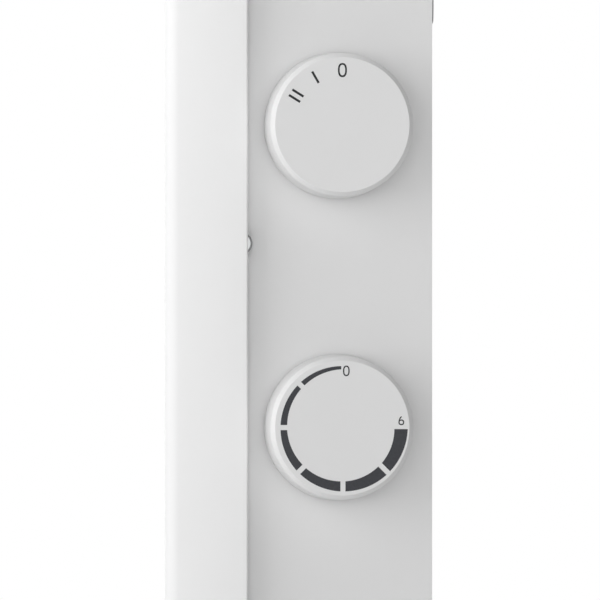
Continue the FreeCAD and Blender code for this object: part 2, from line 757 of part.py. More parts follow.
# Air deflector: a tilted sheet that turns the rising air out through the grille
DEFLECTOR_LEFT = f"(-{REAR_HALF} + weld_flange)"
DEFLECTOR_LENGTH = f"({FINS_RIGHT} - {DEFLECTOR_LEFT})"
SLOPE = "(deflector_rise / sin(deflector_tilt * 1deg))"
DEFLECTOR_LOW = f"({TOP} - case_sheet - seam - deflector_rise - case_sheet)"
tilted = document.addObject("Part::Box", "deflector_tilted")
bind(tilted, "Length", DEFLECTOR_LENGTH)
bind(tilted, "Width", "case_sheet")
bind(tilted, "Height", SLOPE)
tilted.Placement = FreeCAD.Placement(FreeCAD.Vector(), FreeCAD.Rotation(FreeCAD.Vector(1, 0, 0), 1))
DEFLECTOR_Y = f"({BACK_INNER} - seam - 2 * case_sheet)"
place(tilted, (DEFLECTOR_LEFT, DEFLECTOR_Y, DEFLECTOR_LOW), "90 - deflector_tilt")
foot = box("deflector_foot", (DEFLECTOR_LENGTH, "case_sheet", "weld_flange"),
           (DEFLECTOR_LEFT, f"{BACK_INNER} - seam - case_sheet",
            f"{DEFLECTOR_LOW} - weld_flange + case_sheet"))
heel = box("deflector_heel", (DEFLECTOR_LENGTH, "2 * case_sheet", "case_sheet"),
           (DEFLECTOR_LEFT, DEFLECTOR_Y, DEFLECTOR_LOW))
node("air_deflector", join("air_deflector_folded", [tilted, foot, heel]))

# Heat shield: a sheet held off the back panel by four feet
SHIELD_LEFT = f"({LEFT_PLATE} + shield_margin)"
SHIELD_RIGHT = f"({BAY} - case_sheet - shield_margin)"
SHIELD_LOW = f"({BOTTOM} + shield_low)"
SHIELD_HIGH = f"({TOP} - shield_high)"
SHIELD_Y = f"({BACK_INNER} - shield_gap - shield_sheet)"
shield_pieces = [box("heat_sheet", (f"{SHIELD_RIGHT} - {SHIELD_LEFT}", "shield_sheet",
                                    f"{SHIELD_HIGH} - {SHIELD_LOW}"),
                     (SHIELD_LEFT, SHIELD_Y, SHIELD_LOW))]
for side, spot_x in enumerate((SHIELD_LEFT, f"{SHIELD_RIGHT} - shield_foot")):
    for level, spot_z in enumerate((SHIELD_LOW, f"{SHIELD_HIGH} - shield_foot")):
        shield_pieces.append(box(
            f"heat_foot_{side}_{level}",
            ("shield_foot", "shield_gap + shield_sheet - seam", "shield_foot"), (spot_x, SHIELD_Y, spot_z)))
node("heat_shield", join("heat_shield_join", shield_pieces))

# Left element bracket
BRACKET_LOW = f"({LOWER_ELEMENT} - fin_reach)"
BRACKET_TALL = "(element_pitch + 2 * fin_reach + cutout_rise)"
bracket = join("left_bracket_folded", [
    box("left_bracket_plate", ("case_sheet", "element_set + fin_reach", BRACKET_TALL),
        (f"{LEFT_PLATE} - case_sheet", f"{ELEMENT_Y} - fin_reach", BRACKET_LOW)),
    box("left_bracket_flange", ("weld_flange", "case_sheet", BRACKET_TALL),
        (f"{LEFT_PLATE} - case_sheet", f"{BACK_INNER} - case_sheet", BRACKET_LOW)),
])
holes = [
    rod(f"bracket_bush_hole_{index}", "bush_radius + rod_room", "4 * case_sheet",
        (f"{LEFT_PLATE} - 2 * case_sheet", ELEMENT_Y, level), "x")
    for index, level in enumerate((LOWER_ELEMENT, UPPER_ELEMENT))
]
node("element_bracket", cut("element_bracket_drilled", bracket, holes))

# Heating elements: a sheathed rod in an aluminium body with long and short fins
FIN_TURNS = (0, 45, 90, 135)
bushes = []
ROD_LENGTH = f"({BAY} - {LEFT_PLATE} + 2 * rod_tail + case_sheet)"
ROD_LEFT = f"({LEFT_PLATE} - case_sheet - rod_tail)"
for which, level in (("lower", LOWER_ELEMENT), ("upper", UPPER_ELEMENT)):
    pieces = [rod(f"{which}_tube", "hub_tube_radius", ELEMENT_LENGTH, ("0", "0", "0"), "x")]
    for turn in FIN_TURNS:
        reach = "fin_reach" if turn % 90 else "short_fin_reach"
        blade = box(f"{which}_fin_{turn}", (ELEMENT_LENGTH, f"2 * {reach}", "fin_sheet"),
                    ("0", f"-{reach}", "-fin_sheet / 2"))
        turned = gather(f"{which}_fin_turned_{turn}", [blade])
        turned.Placement = FreeCAD.Placement(
            FreeCAD.Vector(), FreeCAD.Rotation(FreeCAD.Vector(1, 0, 0), turn))
        pieces.append(turned)
    bore = rod(f"{which}_bore", "rod_radius + rod_room", f"{ELEMENT_LENGTH} + 2 * overcut",
               ("-overcut", "0", "0"), "x")
    fins = node(f"{which}_element_fins",
                cut(f"{which}_fins_bored", join(f"{which}_fins_join", pieces), [bore]))
    place(fins, (FINS_LEFT, ELEMENT_Y, level))
    sheath = join(f"{which}_rod_join", [
        rod(f"{which}_sheath", "rod_radius", ROD_LENGTH, ("0", "0", "0"), "x"),
        rod(f"{which}_pin", "pin_radius", f"{ROD_LENGTH} + 2 * pin_length", ("-pin_length", "0", "0"), "x"),
    ])
    place(node(f"{which}_element_rod", sheath), (ROD_LEFT, ELEMENT_Y, level))
    for end, wall_x, way in (("left", f"{LEFT_PLATE} - case_sheet", 1), ("right", BAY, -1)):
        name = f"{which}_{end}_bush"
        start = wall_x if way < 0 else f"{wall_x} - collar_length"
        neck_start = f"{wall_x} - bush_length" if way < 0 else wall_x
        ring = join(f"{name}_ring", [
            rod(f"{name}_collar", "collar_radius", "collar_length", (start, ELEMENT_Y, level), "x"),
            rod(f"{name}_neck", "bush_radius", "bush_length", (neck_start, ELEMENT_Y, level), "x"),
        ])
        hole = rod(f"{name}_hole", "rod_radius + rod_room", "3 * bush_length",
                   (f"{wall_x} - 1.5 * bush_length", ELEMENT_Y, level), "x")
        bushes.append(cut(name, ring, [hole]))
node("element_bushes", gather("element_bushes_all", bushes))

# Link strip across the rods' left pins, up to the overheat cut-out
CUTOUT_Z = f"({UPPER_ELEMENT} + cutout_rise)"
CUTOUT_FACE = f"({LEFT_PLATE} - case_sheet)"
CUTOUT_END = f"({CUTOUT_FACE} - cutout_depth)"
CUTOUT_BLADE_Y = f"({ELEMENT_Y} - link_width / 2 - 2 * blade_sheet)"
strip = box("link_strip", ("link_sheet", "link_width", f"{CUTOUT_Z} - {LOWER_ELEMENT} + link_width / 2"),
            (LINK_X, f"{ELEMENT_Y} - link_width / 2", f"{LOWER_ELEMENT} - link_width / 2"))
holes = [
    rod(f"link_hole_{index}", "pin_radius + seam", "4 * link_sheet",
        (f"{LINK_X} - link_sheet", ELEMENT_Y, level), "x")
    for index, level in enumerate((LOWER_ELEMENT, UPPER_ELEMENT))
]
node("element_link", cut("element_link_drilled", strip, holes))
node("overheat_cutout", join("overheat_cutout_join", [
    rod("cutout_can", "cutout_radius", "cutout_depth - seam", (CUTOUT_END, ELEMENT_Y, CUTOUT_Z), "x"),
    box("cutout_front_blade", ("blade_length", "blade_sheet", "blade_width"),
        (f"{CUTOUT_END} - blade_length", f"{CUTOUT_BLADE_Y} - blade_sheet / 2",
         f"{CUTOUT_Z} - blade_width / 2")),
    box("cutout_link_blade", (f"{CUTOUT_END} - {LINK_X} - link_sheet", "link_width", "blade_sheet"),
        (f"{LINK_X} + link_sheet", f"{ELEMENT_Y} - link_width / 2", f"{CUTOUT_Z} - blade_sheet - seam")),
]))

# Mode switch and thermostat, drawn with X along the shaft and placed on the right side panel
for name, (kind, rise) in CONTROLS.items():
    depth, width, height = f"{kind}_depth", f"{kind}_width", f"{kind}_height"
    block = box(f"{name}_block", (depth, width, height),
                (f"-case_sheet - seam - {depth}", f"-{width} / 2", f"-{height} / 2"))
    holes = [rod(f"{name}_shaft_bore", "shaft_radius + shaft_room", "shaft_tail + overcut",
                 ("-case_sheet - shaft_tail", "0", "0"), "x")]
    screws = []
    for index, (along, _) in enumerate(small_screw_spots(rise)):
        holes.append(rod(f"{name}_thread_{index}", "small_screw_radius + seam",
                         "small_screw_length + overcut", ("-small_screw_length - overcut", along, "0"), "x"))
        screws.append(join(f"{name}_screw_{index}", [
            rod(f"{name}_screw_head_{index}", "small_head_radius", "small_head_height",
                ("0", along, "0"), "x"),
            rod(f"{name}_screw_shank_{index}", "small_screw_radius", "small_screw_length",
                ("-small_screw_length", along, "0"), "x"),
        ]))
    on_side(node(f"{name}_switch_body" if kind == "switch" else "thermostat_body",
                 cut(f"{name}_block_bored", block, holes)), "knob_set", rise)
    on_side(node(f"{name}_screws", gather(f"{name}_screws_all", screws)), "knob_set", rise)
    blades = []
    for along in (-1, 1):
        for level in (-1, 1):
            blades.append(box(
                f"{name}_blade_{along + 1}_{level + 1}", ("blade_length", "blade_sheet", "blade_width"),
                (f"-case_sheet - seam - {depth} - blade_length",
                 f"{along} * blade_spread / 2 - blade_sheet / 2",
                 f"{level} * blade_rise / 2 - blade_width / 2")))
    on_side(node(f"{name}_blades", gather(f"{name}_blades_all", blades)), "knob_set", rise)

    # Shaft with a flat at its outer end
    SHAFT_TAIL = "(case_sheet + shaft_tail - shaft_end_room)"
    shaft = rod(f"{name}_shaft_round", "shaft_radius", f"{SHAFT_TAIL} + hub_gap + hub_depth - seam",
                (f"-{SHAFT_TAIL}", "0", "0"), "x")
    flat = box(f"{name}_shaft_flat", ("hub_depth + overcut", "2 * shaft_radius", "shaft_radius"),
               ("hub_gap", "-shaft_radius", "shaft_flat"))
    on_side(node(f"{name}_shaft", cut(f"{name}_shaft_cut", shaft, [flat])), "knob_set", rise)

    # Knob: a hollow cap with a hub that grips the shaft
    skirt = "knob_height - knob_chamfer - knob_gap"
    cap = join(f"{name}_cap", [
        cone(f"{name}_skirt", "knob_radius", "knob_top_radius", skirt, ("knob_gap", "0", "0"), "x"),
        cone(f"{name}_edge", "knob_top_radius", "knob_face_radius", "knob_chamfer",
             ("knob_height - knob_chamfer", "0", "0"), "x"),
    ])
    hollow = cone(f"{name}_hollow", "knob_radius - knob_wall", "knob_top_radius - knob_wall",
                  "knob_height - knob_gap - knob_wall", ("knob_gap", "0", "0"), "x")
    hub = rod(f"{name}_hub", "hub_radius", "knob_height - hub_gap - knob_wall / 2",
              ("hub_gap", "0", "0"), "x")
    bore = rod(f"{name}_hub_bore", "shaft_radius + seam", "hub_depth", ("hub_gap", "0", "0"), "x")
    key = box(f"{name}_hub_key", ("hub_depth", "2 * shaft_radius + 2 * overcut", "shaft_radius"),
              ("hub_gap", "-shaft_radius - overcut", "shaft_flat + seam"))
    keyed = cut(f"{name}_hub_bore_keyed", bore, [key])
    shell = join(f"{name}_shell", [cut(f"{name}_cap_hollow", cap, [hollow]), hub])
    on_side(node(f"{name}_knob", cut(f"{name}_knob_bored", shell, [keyed])), "knob_set", rise)

# Thermostat feeler: a bulb on a fine tube below the thermostat, and the clip that holds it
FEELER_X = "-case_sheet - thermostat_depth / 2"
feeler_top = "-thermostat_height / 2 - capillary_length"
feeler = join("feeler_join", [
    rod("capillary", "capillary_radius", "capillary_length - seam", (FEELER_X, "0", feeler_top), "z"),
    rod("bulb", "feeler_radius", "feeler_length", (FEELER_X, "0", f"{feeler_top} - feeler_length"), "z"),
])
on_side(node("thermostat_feeler", feeler), "knob_set", THERMOSTAT_RISE)
clip_block = box(
    "feeler_clip_block",
    ("thermostat_depth / 2 + feeler_radius + feeler_clip_wall - seam",
     "2 * feeler_radius + 2 * feeler_clip_wall", "feeler_clip_length"),
    ("-case_sheet - thermostat_depth / 2 - feeler_radius - feeler_clip_wall",
     "-feeler_radius - feeler_clip_wall", f"{feeler_top} - feeler_length / 2 - feeler_clip_length / 2"),
)
clip_hole = rod("feeler_clip_hole", "feeler_radius + rod_room", "feeler_length",
                (FEELER_X, "0", f"{feeler_top} - feeler_length"), "z")
on_side(node("feeler_clip", cut("feeler_clip_bored", clip_block, [clip_hole])), "knob_set", THERMOSTAT_RISE)

# Terminal block with its screws, cable gland with its nut, grommet and earth stud
BLOCK_X = f"({BAY} + block_inset)"
BLOCK_Z = f"({BOTTOM} + block_rise)"
BLOCK_Y = f"({BACK_INNER} - seam - block_depth)"
POLES = 3


def pole_place(pole):
    return f"({BLOCK_X} + block_width * {2 * pole + 1} / {2 * POLES})"


block = box("block_body", ("block_width", "block_depth", "block_height"), (BLOCK_X, BLOCK_Y, BLOCK_Z))
wells = []
screws = []
for pole in range(POLES):
    pole_x = pole_place(pole)
    for row, level in enumerate(("block_height / 4", "block_height * 3 / 4")):
        start = (pole_x, f"{BLOCK_Y} - overcut", f"{BLOCK_Z} + {level}")
        wells.append(rod(f"well_{pole}_{row}", "block_screw_radius + screw_room",
                         "block_depth / 2 + overcut", start, "y"))
        seat = (pole_x, f"{BLOCK_Y} + overcut", f"{BLOCK_Z} + {level}")
        screws.append(rod(f"block_screw_{pole}_{row}", "block_screw_radius",
                          "block_depth / 2 - overcut", seat, "y"))
node("terminal_block", cut("terminal_block_wells", block, wells))
node("terminal_screws", gather("terminal_screws_all", screws))

gland = join("gland_join", [
    rod("gland_flange", "gland_flange_radius", "gland_flange_length",
        (GLAND_X, GLAND_Y, f"{BOTTOM} - seam - gland_flange_length"), "z"),
    rod("gland_neck", "gland_radius", "gland_length",
        (GLAND_X, GLAND_Y, f"{BOTTOM} - seam - gland_flange_length"), "z"),
])
bore = rod("gland_bore", "gland_bore_radius", "gland_length + 2 * overcut",
           (GLAND_X, GLAND_Y, f"{BOTTOM} - gland_flange_length - overcut"), "z")
node("cable_gland", cut("cable_gland_bored", gland, [bore]))
nut = rod("nut_round", "gland_nut_radius", "gland_nut_length",
          (GLAND_X, GLAND_Y, f"{BOTTOM} + case_sheet + seam"), "z")
bore = rod("nut_bore", "gland_radius + seam", "3 * gland_nut_length", (GLAND_X, GLAND_Y, BOTTOM), "z")
node("gland_nut", cut("gland_nut_bored", nut, [bore]))

ring = join("grommet_ring", [
    rod("grommet_left", "grommet_radius", "grommet_side",
        (f"{BAY} - case_sheet - seam - grommet_side", ELEMENT_Y, GROMMET_Z), "x"),
    rod("grommet_middle", "grommet_neck", "case_sheet + 2 * seam + 2 * grommet_side",
        (f"{BAY} - case_sheet - seam - grommet_side", ELEMENT_Y, GROMMET_Z), "x"),
    rod("grommet_right", "grommet_radius", "grommet_side", (f"{BAY} + seam", ELEMENT_Y, GROMMET_Z), "x"),
])
bore = rod("grommet_bore", "lead_radius + rod_room", "20 * grommet_side",
           (f"{BAY} - 10 * grommet_side", ELEMENT_Y, GROMMET_Z), "x")
node("grommet", cut("grommet_bored", ring, [bore]))
stud = join("stud_join", [
    rod("stud_shank", "stud_radius", "stud_length", (STUD_X, f"{BACK} - stud_length", STUD_Z), "y"),
    rod("stud_nut", "stud_nut_radius", "stud_nut_length",
        (STUD_X, f"{BACK_INNER} - seam - stud_nut_length", STUD_Z), "y"),
])
node("earth_stud", stud)


# Leads: round wire along straight runs joined by tangent arcs
def side_point(outward, along, rise):
    """A point given square to the right side panel, along it and above the case's middle."""
    slope = FreeCAD.Rotation(FreeCAD.Vector(0, 0, 1), number("side_taper"))
    local = FreeCAD.Vector(number(outward), number(along), number(rise))
    return FreeCAD.Vector(number(SIDE), number(REAR), number(MIDDLE)) + slope.multVec(local)


def case_point(x, y, z):
    return FreeCAD.Vector(number(x), number(y), number(z))


def rounded_path(points, bend):
    edges = []
    start = points[0]
    for before, corner, after in zip(points, points[1:], points[2:]):
        way_in = (corner - before).normalize()
        way_out = (after - corner).normalize()
        half_turn = way_in.getAngle(way_out) / 2
        reach = bend * number(f"tan({half_turn} * 1rad)")
        first, last = corner - way_in * reach, corner + way_out * reach
        inward = (way_out - way_in).normalize()
        middle = corner + inward * (bend / number(f"cos({half_turn} * 1rad)") - bend)
        edges.append(Part.LineSegment(start, first).toShape())
        edges.append(Part.Arc(first, middle, last).toShape())
        start = last
    edges.append(Part.LineSegment(start, points[-1]).toShape())
    return Part.Wire(edges)


def lead(label, points):
    path = rounded_path(points, number("lead_bend"))
    radius = number("lead_radius")
    circle = Part.makeCircle(radius, points[0], points[1] - points[0])
    made = document.addObject("Part::Feature", label + "_wire")
    made.Shape = path.makePipeShell([Part.Wire(circle)], True, False)
    node(label, made)


SWITCH_ENDS = "(-case_sheet - 2 * seam - switch_depth - blade_length)"
THERMOSTAT_ENDS = "(-case_sheet - 2 * seam - thermostat_depth - blade_length)"
LANE = f"({SWITCH_ENDS} - lead_lane_room)"
FRONT_LANE = "(knob_set - blade_spread / 2)"
REAR_LANE = "(knob_set + blade_spread / 2)"
LOW_BLADE, HIGH_BLADE = "(-blade_rise / 2)", "(blade_rise / 2)"
lead("lead_thermostat", [
    side_point(THERMOSTAT_ENDS, REAR_LANE, f"{THERMOSTAT_RISE} + {HIGH_BLADE}"),
    side_point(LANE, REAR_LANE, f"{THERMOSTAT_RISE} + {HIGH_BLADE}"),
    side_point(LANE, REAR_LANE, f"{MODE_RISE} + {LOW_BLADE}"),
    side_point(SWITCH_ENDS, REAR_LANE, f"{MODE_RISE} + {LOW_BLADE}"),
])
PIN_END = f"({BAY} + rod_tail + pin_length + seam)"
ELEMENT_LANE = f"({PIN_END} + lead_lane_room)"


def element_lead(label, blade, lane_shift, level):
    """From a mode switch blade down a lane in front of the thermostat to an element's right pin."""
    lane = f"{FRONT_LANE} - {lane_shift}"
    rise = f"{MODE_RISE} + {blade}"
    above_pin = f"{level} - {MIDDLE}"
    blade_end = side_point(SWITCH_ENDS, FRONT_LANE, rise)
    turn_in = side_point(LANE, FRONT_LANE, rise)
    turn_down = side_point(LANE, lane, rise)
    bottom = side_point(LANE, lane, above_pin)
    pin = case_point(PIN_END, ELEMENT_Y, level)
    before_pin = case_point(ELEMENT_LANE, ELEMENT_Y, level)
    side_step = FreeCAD.Vector(before_pin.x, bottom.y, bottom.z)
    lead(label, [blade_end, turn_in, turn_down, bottom, side_step, before_pin, pin])


element_lead("lead_half_power", LOW_BLADE, "lead_half_lane", UPPER_ELEMENT)
element_lead("lead_full_power", HIGH_BLADE, "lead_full_lane", LOWER_ELEMENT)

BLOCK_MIDDLE = f"({BLOCK_Y} + block_depth / 2)"
BLOCK_TOP = f"({BLOCK_Z} + block_height + seam)"
blade_rise = f"{THERMOSTAT_RISE} + {LOW_BLADE}"
blade_end = side_point(THERMOSTAT_ENDS, REAR_LANE, blade_rise)
lane_top = side_point(LANE, REAR_LANE, blade_rise)
block_end = case_point(pole_place(0), BLOCK_MIDDLE, BLOCK_TOP)
climb = block_end + FreeCAD.Vector(0, 0, number("lead_climb"))
lane_foot = FreeCAD.Vector(lane_top.x, lane_top.y, climb.z)
lead("lead_live", [block_end, climb, lane_foot, lane_top, blade_end])
RETURN_X = f"({CUTOUT_END} - blade_length - seam)"
RETURN_LANE = f"({RETURN_X} - lead_lane_room)"
BAY_LANE = f"({BAY} + lead_bay_room)"
lead("lead_return", [
    case_point(RETURN_X, CUTOUT_BLADE_Y, CUTOUT_Z),
    case_point(RETURN_LANE, CUTOUT_BLADE_Y, CUTOUT_Z),
    case_point(RETURN_LANE, CUTOUT_BLADE_Y, GROMMET_Z),
    case_point(f"{RETURN_LANE} + 3 * lead_bay_room", ELEMENT_Y, GROMMET_Z),
    case_point(BAY_LANE, ELEMENT_Y, GROMMET_Z),
    case_point(BAY_LANE, BLOCK_MIDDLE, GROMMET_Z),
    case_point(pole_place(1), BLOCK_MIDDLE, GROMMET_Z),
    case_point(pole_place(1), BLOCK_MIDDLE, f"{BLOCK_Z} - seam"),
])
lead("lead_earth", [
    case_point(pole_place(2), BLOCK_MIDDLE, BLOCK_TOP),
    case_point(pole_place(2), BLOCK_MIDDLE, STUD_Z),
    case_point(f"{STUD_X} + stud_radius + seam", BLOCK_MIDDLE, STUD_Z),
])

# Wall bracket: a flat plate with two upright hooks and four screw holes
body = document.addObject("PartDesign::Body", "bracket_plate_body")
outline = rounded_sketch(body, "bracket_outline", "0", "bracket_width", "bracket_height", "bracket_corner")
pad = body.newObject("PartDesign::Pad", "bracket_pad")
pad.Profile = outline
bind(pad, "Length", "bracket_sheet")
document.recompute()
pieces = [body]
for side in (-1, 1):
    left = f"{side} * hook_spread / 2 - hook_width / 2"
    pieces.append(box(f"hook_leg_{side + 1}",
                      ("hook_width", "hook_throat + 2 * bracket_sheet", "bracket_sheet"),
                      (left, "-hook_throat - 2 * bracket_sheet", "-bracket_sheet")))
    pieces.append(box(f"hook_tip_{side + 1}", ("hook_width", "bracket_sheet", "bracket_sheet + hook_rise"),
                      (left, "-hook_throat - 2 * bracket_sheet", "-bracket_sheet")))
holes = []
for side in (-1, 1):
    for level in (-1, 1):
        spot = (f"{side} * wall_hole_spread / 2", "-2 * bracket_sheet", f"{level} * wall_hole_rise / 2")
        name = f"wall_hole_{side + 1}_{level + 1}"
        holes.append(rod(name, "wall_hole_radius", "3 * bracket_sheet", spot, "y"))
node("wall_bracket", cut("wall_bracket_drilled", join("wall_bracket_join", pieces), holes))

# Wall pads low on the back
pads = [
    rod(f"wall_pad_{side + 1}", "pad_radius", f"-{BACK} - seam",
        (f"{side} * pad_spread / 2", f"{BACK} + seam", f"{BOTTOM} + pad_rise"), "y")
    for side in (-1, 1)
]
node("wall_pads", gather("wall_pads_both", pads))

document.recompute()
for thing in document.Objects:
    if "Invalid" in thing.State or "Error" in thing.State:
        raise RuntimeError(f"{thing.Name} did not build: {thing.State}")
os.makedirs("parts", exist_ok=True)
for made in nodes:
    if made.Shape.isNull() or not made.Shape.isValid():
        raise RuntimeError(f"{made.Label} has no valid shape")
    made.Shape.exportStep(f"parts/{made.Label}.step")
    print(made.Label, len(made.Shape.Solids), round(made.Shape.Volume))
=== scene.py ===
import json
import math

import bmesh
import bpy
from mathutils import Matrix, Vector


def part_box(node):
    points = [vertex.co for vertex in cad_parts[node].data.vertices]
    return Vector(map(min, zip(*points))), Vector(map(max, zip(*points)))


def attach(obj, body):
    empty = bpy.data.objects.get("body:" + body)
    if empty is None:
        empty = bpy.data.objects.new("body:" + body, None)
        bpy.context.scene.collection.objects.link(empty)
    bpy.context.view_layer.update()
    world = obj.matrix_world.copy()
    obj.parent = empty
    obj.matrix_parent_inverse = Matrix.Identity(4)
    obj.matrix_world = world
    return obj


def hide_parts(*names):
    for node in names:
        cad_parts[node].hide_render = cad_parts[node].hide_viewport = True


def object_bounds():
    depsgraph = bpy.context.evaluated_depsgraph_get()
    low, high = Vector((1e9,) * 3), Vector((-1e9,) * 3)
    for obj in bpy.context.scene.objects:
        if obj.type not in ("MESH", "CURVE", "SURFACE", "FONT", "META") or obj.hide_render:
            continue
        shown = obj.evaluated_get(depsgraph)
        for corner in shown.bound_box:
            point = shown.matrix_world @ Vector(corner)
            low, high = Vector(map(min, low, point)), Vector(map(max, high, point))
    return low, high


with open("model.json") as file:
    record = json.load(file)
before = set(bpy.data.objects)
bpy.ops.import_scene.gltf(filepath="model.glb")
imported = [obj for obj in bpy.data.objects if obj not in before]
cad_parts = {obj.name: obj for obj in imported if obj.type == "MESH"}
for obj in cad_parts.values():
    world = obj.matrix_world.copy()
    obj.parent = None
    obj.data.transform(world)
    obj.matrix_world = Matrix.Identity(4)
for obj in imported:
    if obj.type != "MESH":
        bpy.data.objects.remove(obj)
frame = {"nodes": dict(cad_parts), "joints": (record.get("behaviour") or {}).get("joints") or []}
cad_box = [list(corner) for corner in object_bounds()]

# Wall bracket
# A flat steel plate with two upright hooks, stamped and powder coated grey.
# It is fixed to the wall through four holes, and the heater hangs on its hooks.
MM = 0.001
BRACKET_GREY = (0.47, 0.47, 0.48, 1)
NOISE_LOW, NOISE_HIGH = 0.3, 0.7
COAT_ROUGH, COAT_SWING = 0.42, 0.04
COAT_CLOUD, COAT_PATCH, COAT_FADE = 60 * MM, 5 * MM, 0.985
PEEL_SIZE, PEEL_HEIGHT = 0.9 * MM, 0.012 * MM


def new_finish(name):
    """A material with its shader, and the object coordinates that its patterns follow."""
    finish = bpy.data.materials.new(name)
    finish.use_nodes = True
    tree = finish.node_tree
    place = tree.nodes.new("ShaderNodeTexCoord").outputs["Object"]
    return finish, tree, tree.nodes["Principled BSDF"], place


def step(tree, kind, feeds, **settings):
    """One node of a tree, with sockets or plain values fed into its inputs."""
    made = tree.nodes.new(kind)
    for name, value in settings.items():
        setattr(made, name, value)
    for socket, feed in feeds.items():
        if isinstance(feed, bpy.types.NodeSocket):
            tree.links.new(feed, made.inputs[socket])
        else:
            made.inputs[socket].default_value = feed
    return made


def first_out(tree, kind, feeds, **settings):
    """The first output of a new node."""
    return step(tree, kind, feeds, **settings).outputs[0]


def grain(tree, place, size, detail=3.0, stretch=(1, 1, 1)):
    """Noise whose lumps are about one size across, drawn out along an axis where asked."""
    mapped = first_out(tree, "ShaderNodeMapping", {"Vector": place, "Scale": stretch})
    lumps = {"Vector": mapped, "Scale": 1 / size, "Detail": detail}
    return step(tree, "ShaderNodeTexNoise", lumps).outputs["Fac"]


def shades(tree, amount, dark, light):
    """A colour between two shades, led by a noise's middle range."""
    ramp = step(tree, "ShaderNodeValToRGB", {"Fac": amount})
    stops = ramp.color_ramp.elements
    stops[0].position, stops[0].color = NOISE_LOW, dark
    stops[1].position, stops[1].color = NOISE_HIGH, light
    return ramp.outputs["Color"]


def tint(tree, shader, amount, colour, fade):
    """The finish's colour, which a noise darkens to a share of it."""
    dark = tuple(value * fade for value in colour[:3]) + (1,)
    tree.links.new(shades(tree, amount, dark, colour), shader.inputs["Base Color"])


def roughen(tree, shader, amount, low, high):
    """The finish's roughness between two limits, led by a noise's middle range."""
    limits = {"Value": amount, "From Min": NOISE_LOW, "From Max": NOISE_HIGH, "To Min": low, "To Max": high}
    tree.links.new(step(tree, "ShaderNodeMapRange", limits).outputs["Result"], shader.inputs["Roughness"])


def emboss(tree, shader, amount, strength, height):
    """Small bumps on the finish, led by a noise."""
    bump = {"Height": amount, "Strength": strength, "Distance": height}
    tree.links.new(step(tree, "ShaderNodeBump", bump).outputs["Normal"], shader.inputs["Normal"])


def powder_coat(name, colour, peel=PEEL_SIZE):
    """Baked powder paint: even in colour, with a faint orange peel."""
    finish, tree, shader, place = new_finish(name)
    tint(tree, shader, grain(tree, place, COAT_CLOUD), colour, COAT_FADE)
    roughen(tree, shader, grain(tree, place, COAT_PATCH), COAT_ROUGH - COAT_SWING, COAT_ROUGH + COAT_SWING)
    emboss(tree, shader, grain(tree, place, peel, detail=1.0), strength=1.0, height=PEEL_HEIGHT)
    return finish


def dress(node_names, finish):
    """Give CAD nodes their finish."""
    for name in node_names:
        mesh = frame["nodes"][name].data
        mesh.materials.clear()
        mesh.materials.append(finish)


dress(["wall_bracket"], powder_coat("bracket_coat", BRACKET_GREY))

# Case
# Back, top and bottom sheets and two side panels of thin steel, powder coated white.
# The sheets are seam-welded, and the side panels are screwed to strips inside the corners.
# Its white is a little darker than the front panel's: partly the case's own tone, partly painted shade for
# the dimmer light on the side panels.
CASE_WHITE = (0.845, 0.845, 0.845, 1)
case_coat = powder_coat("case_coat", CASE_WHITE)
dress(["back_panel", "top_panel", "bottom_panel", "right_side_panel", "left_side_panel"], case_coat)

# Sheet pieces inside the case
# Control shield, corner strips, heat shield, deflector and brackets, folded from
# galvanised steel and left bare, so the zinc's spangle shows.
ZINC_DARK = (0.46, 0.47, 0.49, 1)
ZINC_LIGHT = (0.66, 0.67, 0.69, 1)
ZINC_GLOSSY, ZINC_DULL = 0.32, 0.5
SPANGLE = 7 * MM
SHEET_PIECES = [
    "control_shield", "side_flanges", "left_angle", "heat_shield", "air_deflector", "element_bracket",
    "panel_brackets",
]


def spangled_zinc(name):
    """Dipped zinc: crystals between two greys, each with its own gloss."""
    finish, tree, shader, place = new_finish(name)
    crystals = step(tree, "ShaderNodeTexVoronoi", {"Vector": place, "Scale": 1 / SPANGLE}).outputs["Color"]
    tree.links.new(shades(tree, crystals, ZINC_DARK, ZINC_LIGHT), shader.inputs["Base Color"])
    roughen(tree, shader, crystals, ZINC_GLOSSY, ZINC_DULL)
    shader.inputs["Metallic"].default_value = 1.0
    return finish


dress(SHEET_PIECES, spangled_zinc("galvanised_sheet"))

# Heating elements
# Two steel-sheathed rods pressed into finned aluminium extrusions. Ceramic bushes carry
# their ends, a plated strip joins them on the left, and a cut-out guards against overheating.
ALUMINIUM = (0.72, 0.73, 0.75, 1)
SHEATH = (0.30, 0.28, 0.27, 1)
PLATED = (0.62, 0.63, 0.65, 1)
PORCELAIN = (0.82, 0.79, 0.72, 1)
BLACK = (0.022, 0.022, 0.024, 1)
LENGTHWISE, ALL_WAYS = (0.03, 1, 1), (1, 1, 1)
METAL_FADE, METAL_GLOSSIER, METAL_DULLER = 0.86, 0.06, 0.08
LINE_STRENGTH, LINE_HEIGHT = 0.4, 0.01 * MM
BODY_CLOUD, BODY_FADE, BODY_SWING, BODY_STRENGTH = 12 * MM, 0.93, 0.06, 0.6


def drawn_metal(name, colour, rough, line=0.5 * MM, along=LENGTHWISE):
    """Bare metal with fine lines along the way that it was drawn or rolled."""
    finish, tree, shader, place = new_finish(name)
    lines = grain(tree, place, line, detail=2.0, stretch=along)
    tint(tree, shader, lines, colour, METAL_FADE)
    roughen(tree, shader, lines, rough - METAL_GLOSSIER, rough + METAL_DULLER)
    emboss(tree, shader, lines, LINE_STRENGTH, LINE_HEIGHT)
    shader.inputs["Metallic"].default_value = 1.0
    return finish


